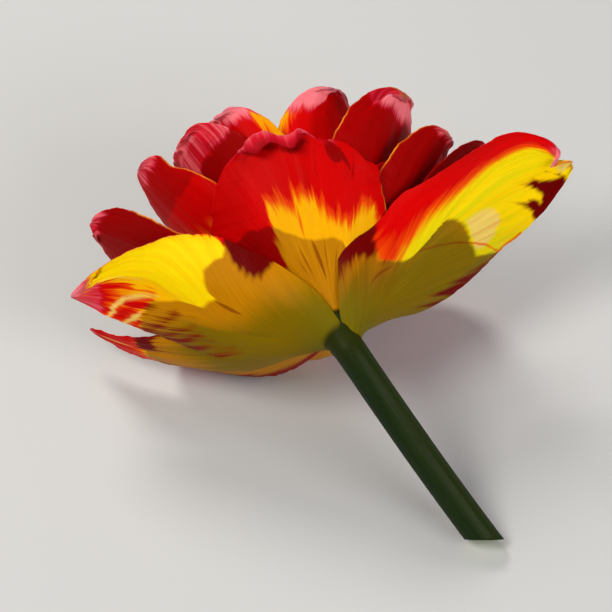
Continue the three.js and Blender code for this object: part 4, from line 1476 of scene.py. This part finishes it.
def pistil_material():
    """Pale green ovary with a creamy, downy stigma."""
    material, shelf, skin = new_material(
        "pistil_finish", Roughness=0.5, Subsurface_Weight=0.2,
        Subsurface_Radius=(0.7, 0.8, 0.2), Subsurface_Scale=0.0015)
    turn, height, _ = shelf.split(shelf.stored("skin"))
    fine, _ = use_group(shelf, LONG_GRAIN, {
        "Across": shelf.math("SINE", shelf.times(turn, 6 * math.pi)),
        "Along": height, "Fine": 5, "Broad": 2, "Seed": 8})
    stigma = shelf.soft(height, *STIGMA_RISE)
    color = shelf.blend(shelf.soft(fine, -0.2, 0.2), OVARY_GREEN, OVARY_PALE)
    down = shelf.noise(shelf.place(), STIGMA_DOWN, 2.0)
    shelf.plug(skin["Base Color"], shelf.blend(stigma, color, STIGMA_CREAM))
    shelf.plug(skin["Normal"], shelf.bump(0.7, 0.0003, shelf.times(down, stigma)))
    return material


def stamen_material():
    """Pale filament and a dark anther dusted with pollen."""
    material, shelf, skin = new_material("stamen_finish", Roughness=0.75)
    _, height, _ = shelf.split(shelf.stored("skin"))
    dust = shelf.soft(shelf.noise(shelf.place(), POLLEN_GRAINS, 2.0), 0.05, 0.14)
    anther = shelf.blend(shelf.times(dust, 0.6), ANTHER_BLACK, POLLEN)
    filament = shelf.blend(shelf.soft(height, 0.0, 5.0), FILAMENT_FOOT, FILAMENT_TOP)
    color = shelf.blend(shelf.soft(height, ANTHER_FROM - 0.3, ANTHER_FROM + 0.3), filament, anther)
    shelf.plug(skin["Base Color"], color)
    shelf.plug(skin["Normal"], shelf.bump(0.8, 0.0002, dust))
    return material


# --- The flower ---

for index, (name, row) in enumerate(PETALS.items()):
    pattern = {**PATTERN, **PATTERNS.get(name, {}), "seed": GRAIN_SEED_STEP * index}
    build_petal(name, row, pattern, SEED_STEP * index, petal_material(name, pattern))

build_stem(stem_material())

build_on_head("pistil", PISTIL, np.zeros(3), np.zeros(3), pistil_material())

anther_finish = stamen_material()
for index in range(STAMEN_COUNT):
    angle = 2 * math.pi * (index + 0.5) / STAMEN_COUNT
    outward = np.array([math.cos(angle), math.sin(angle), 0])
    build_on_head(
        f"stamen_{index + 1}", STAMEN,
        STAMEN_RING * outward, STAMEN_LEAN * outward, anther_finish)


# --- Floor and light ---

FLOOR_SIZE = 6.0  # metres, as are the lights' places
FLOOR_COLOR = (0.56, 0.555, 0.54)
FLOOR_MOTTLE = 0.97  # how dark its darker places are
LIGHTS = {
    "key_left": dict(place=(-0.5, -0.35, 0.9), size=0.45, power=6.5, color=(1.0, 0.98, 0.94)),
    "fill_right": dict(place=(0.7, -0.6, 0.6), size=0.7, power=6, color=(0.97, 0.98, 1.0)),
    "back": dict(place=(-0.3, 0.6, 0.7), size=0.35, power=4.5, color=(1.0, 0.97, 0.92)),
}
SKY_COLOR = (0.9, 0.93, 1.0)
SKY_STRENGTH = 0.22


def build_floor():
    """A wide pale floor that the flower lies on."""
    half = FLOOR_SIZE / 2
    mesh = bpy.data.meshes.new("floor")
    corners = [(-half, -half, 0), (half, -half, 0), (half, half, 0), (-half, half, 0)]
    mesh.from_pydata(corners, [], [(0, 1, 2, 3)])
    material, shelf, skin = new_material("floor_finish", Roughness=0.7)
    tone = shelf.soft(shelf.noise(shelf.place(), FLOOR_SPOTS), -0.4, 0.4)
    darker = tuple(FLOOR_MOTTLE * part for part in FLOOR_COLOR)
    shelf.plug(skin["Base Color"], shelf.blend(tone, FLOOR_COLOR, darker))
    mesh.materials.append(material)
    floor = bpy.data.objects.new("floor", mesh)
    bpy.context.scene.collection.objects.link(floor)


def build_lights():
    """Soft studio lights, all aimed at the bloom, and a pale sky."""
    target = Vector(NECK * MM)
    for name, light in LIGHTS.items():
        data = bpy.data.lights.new(name, "AREA")
        data.shape = "DISK"
        data.size = light["size"]
        data.energy = light["power"]
        data.color = light["color"]
        lamp = bpy.data.objects.new(name, data)
        lamp.location = light["place"]
        lamp.rotation_euler = (target - lamp.location).to_track_quat("-Z", "Y").to_euler()
        bpy.context.scene.collection.objects.link(lamp)
    world = bpy.data.worlds.new("studio")
    world.use_nodes = True
    sky = world.node_tree.nodes["Background"].inputs
    sky["Color"].default_value = (*SKY_COLOR, 1)
    sky["Strength"].default_value = SKY_STRENGTH
    bpy.context.scene.world = world


build_floor()
build_lights()
bpy.context.scene.view_settings.view_transform = "Standard"
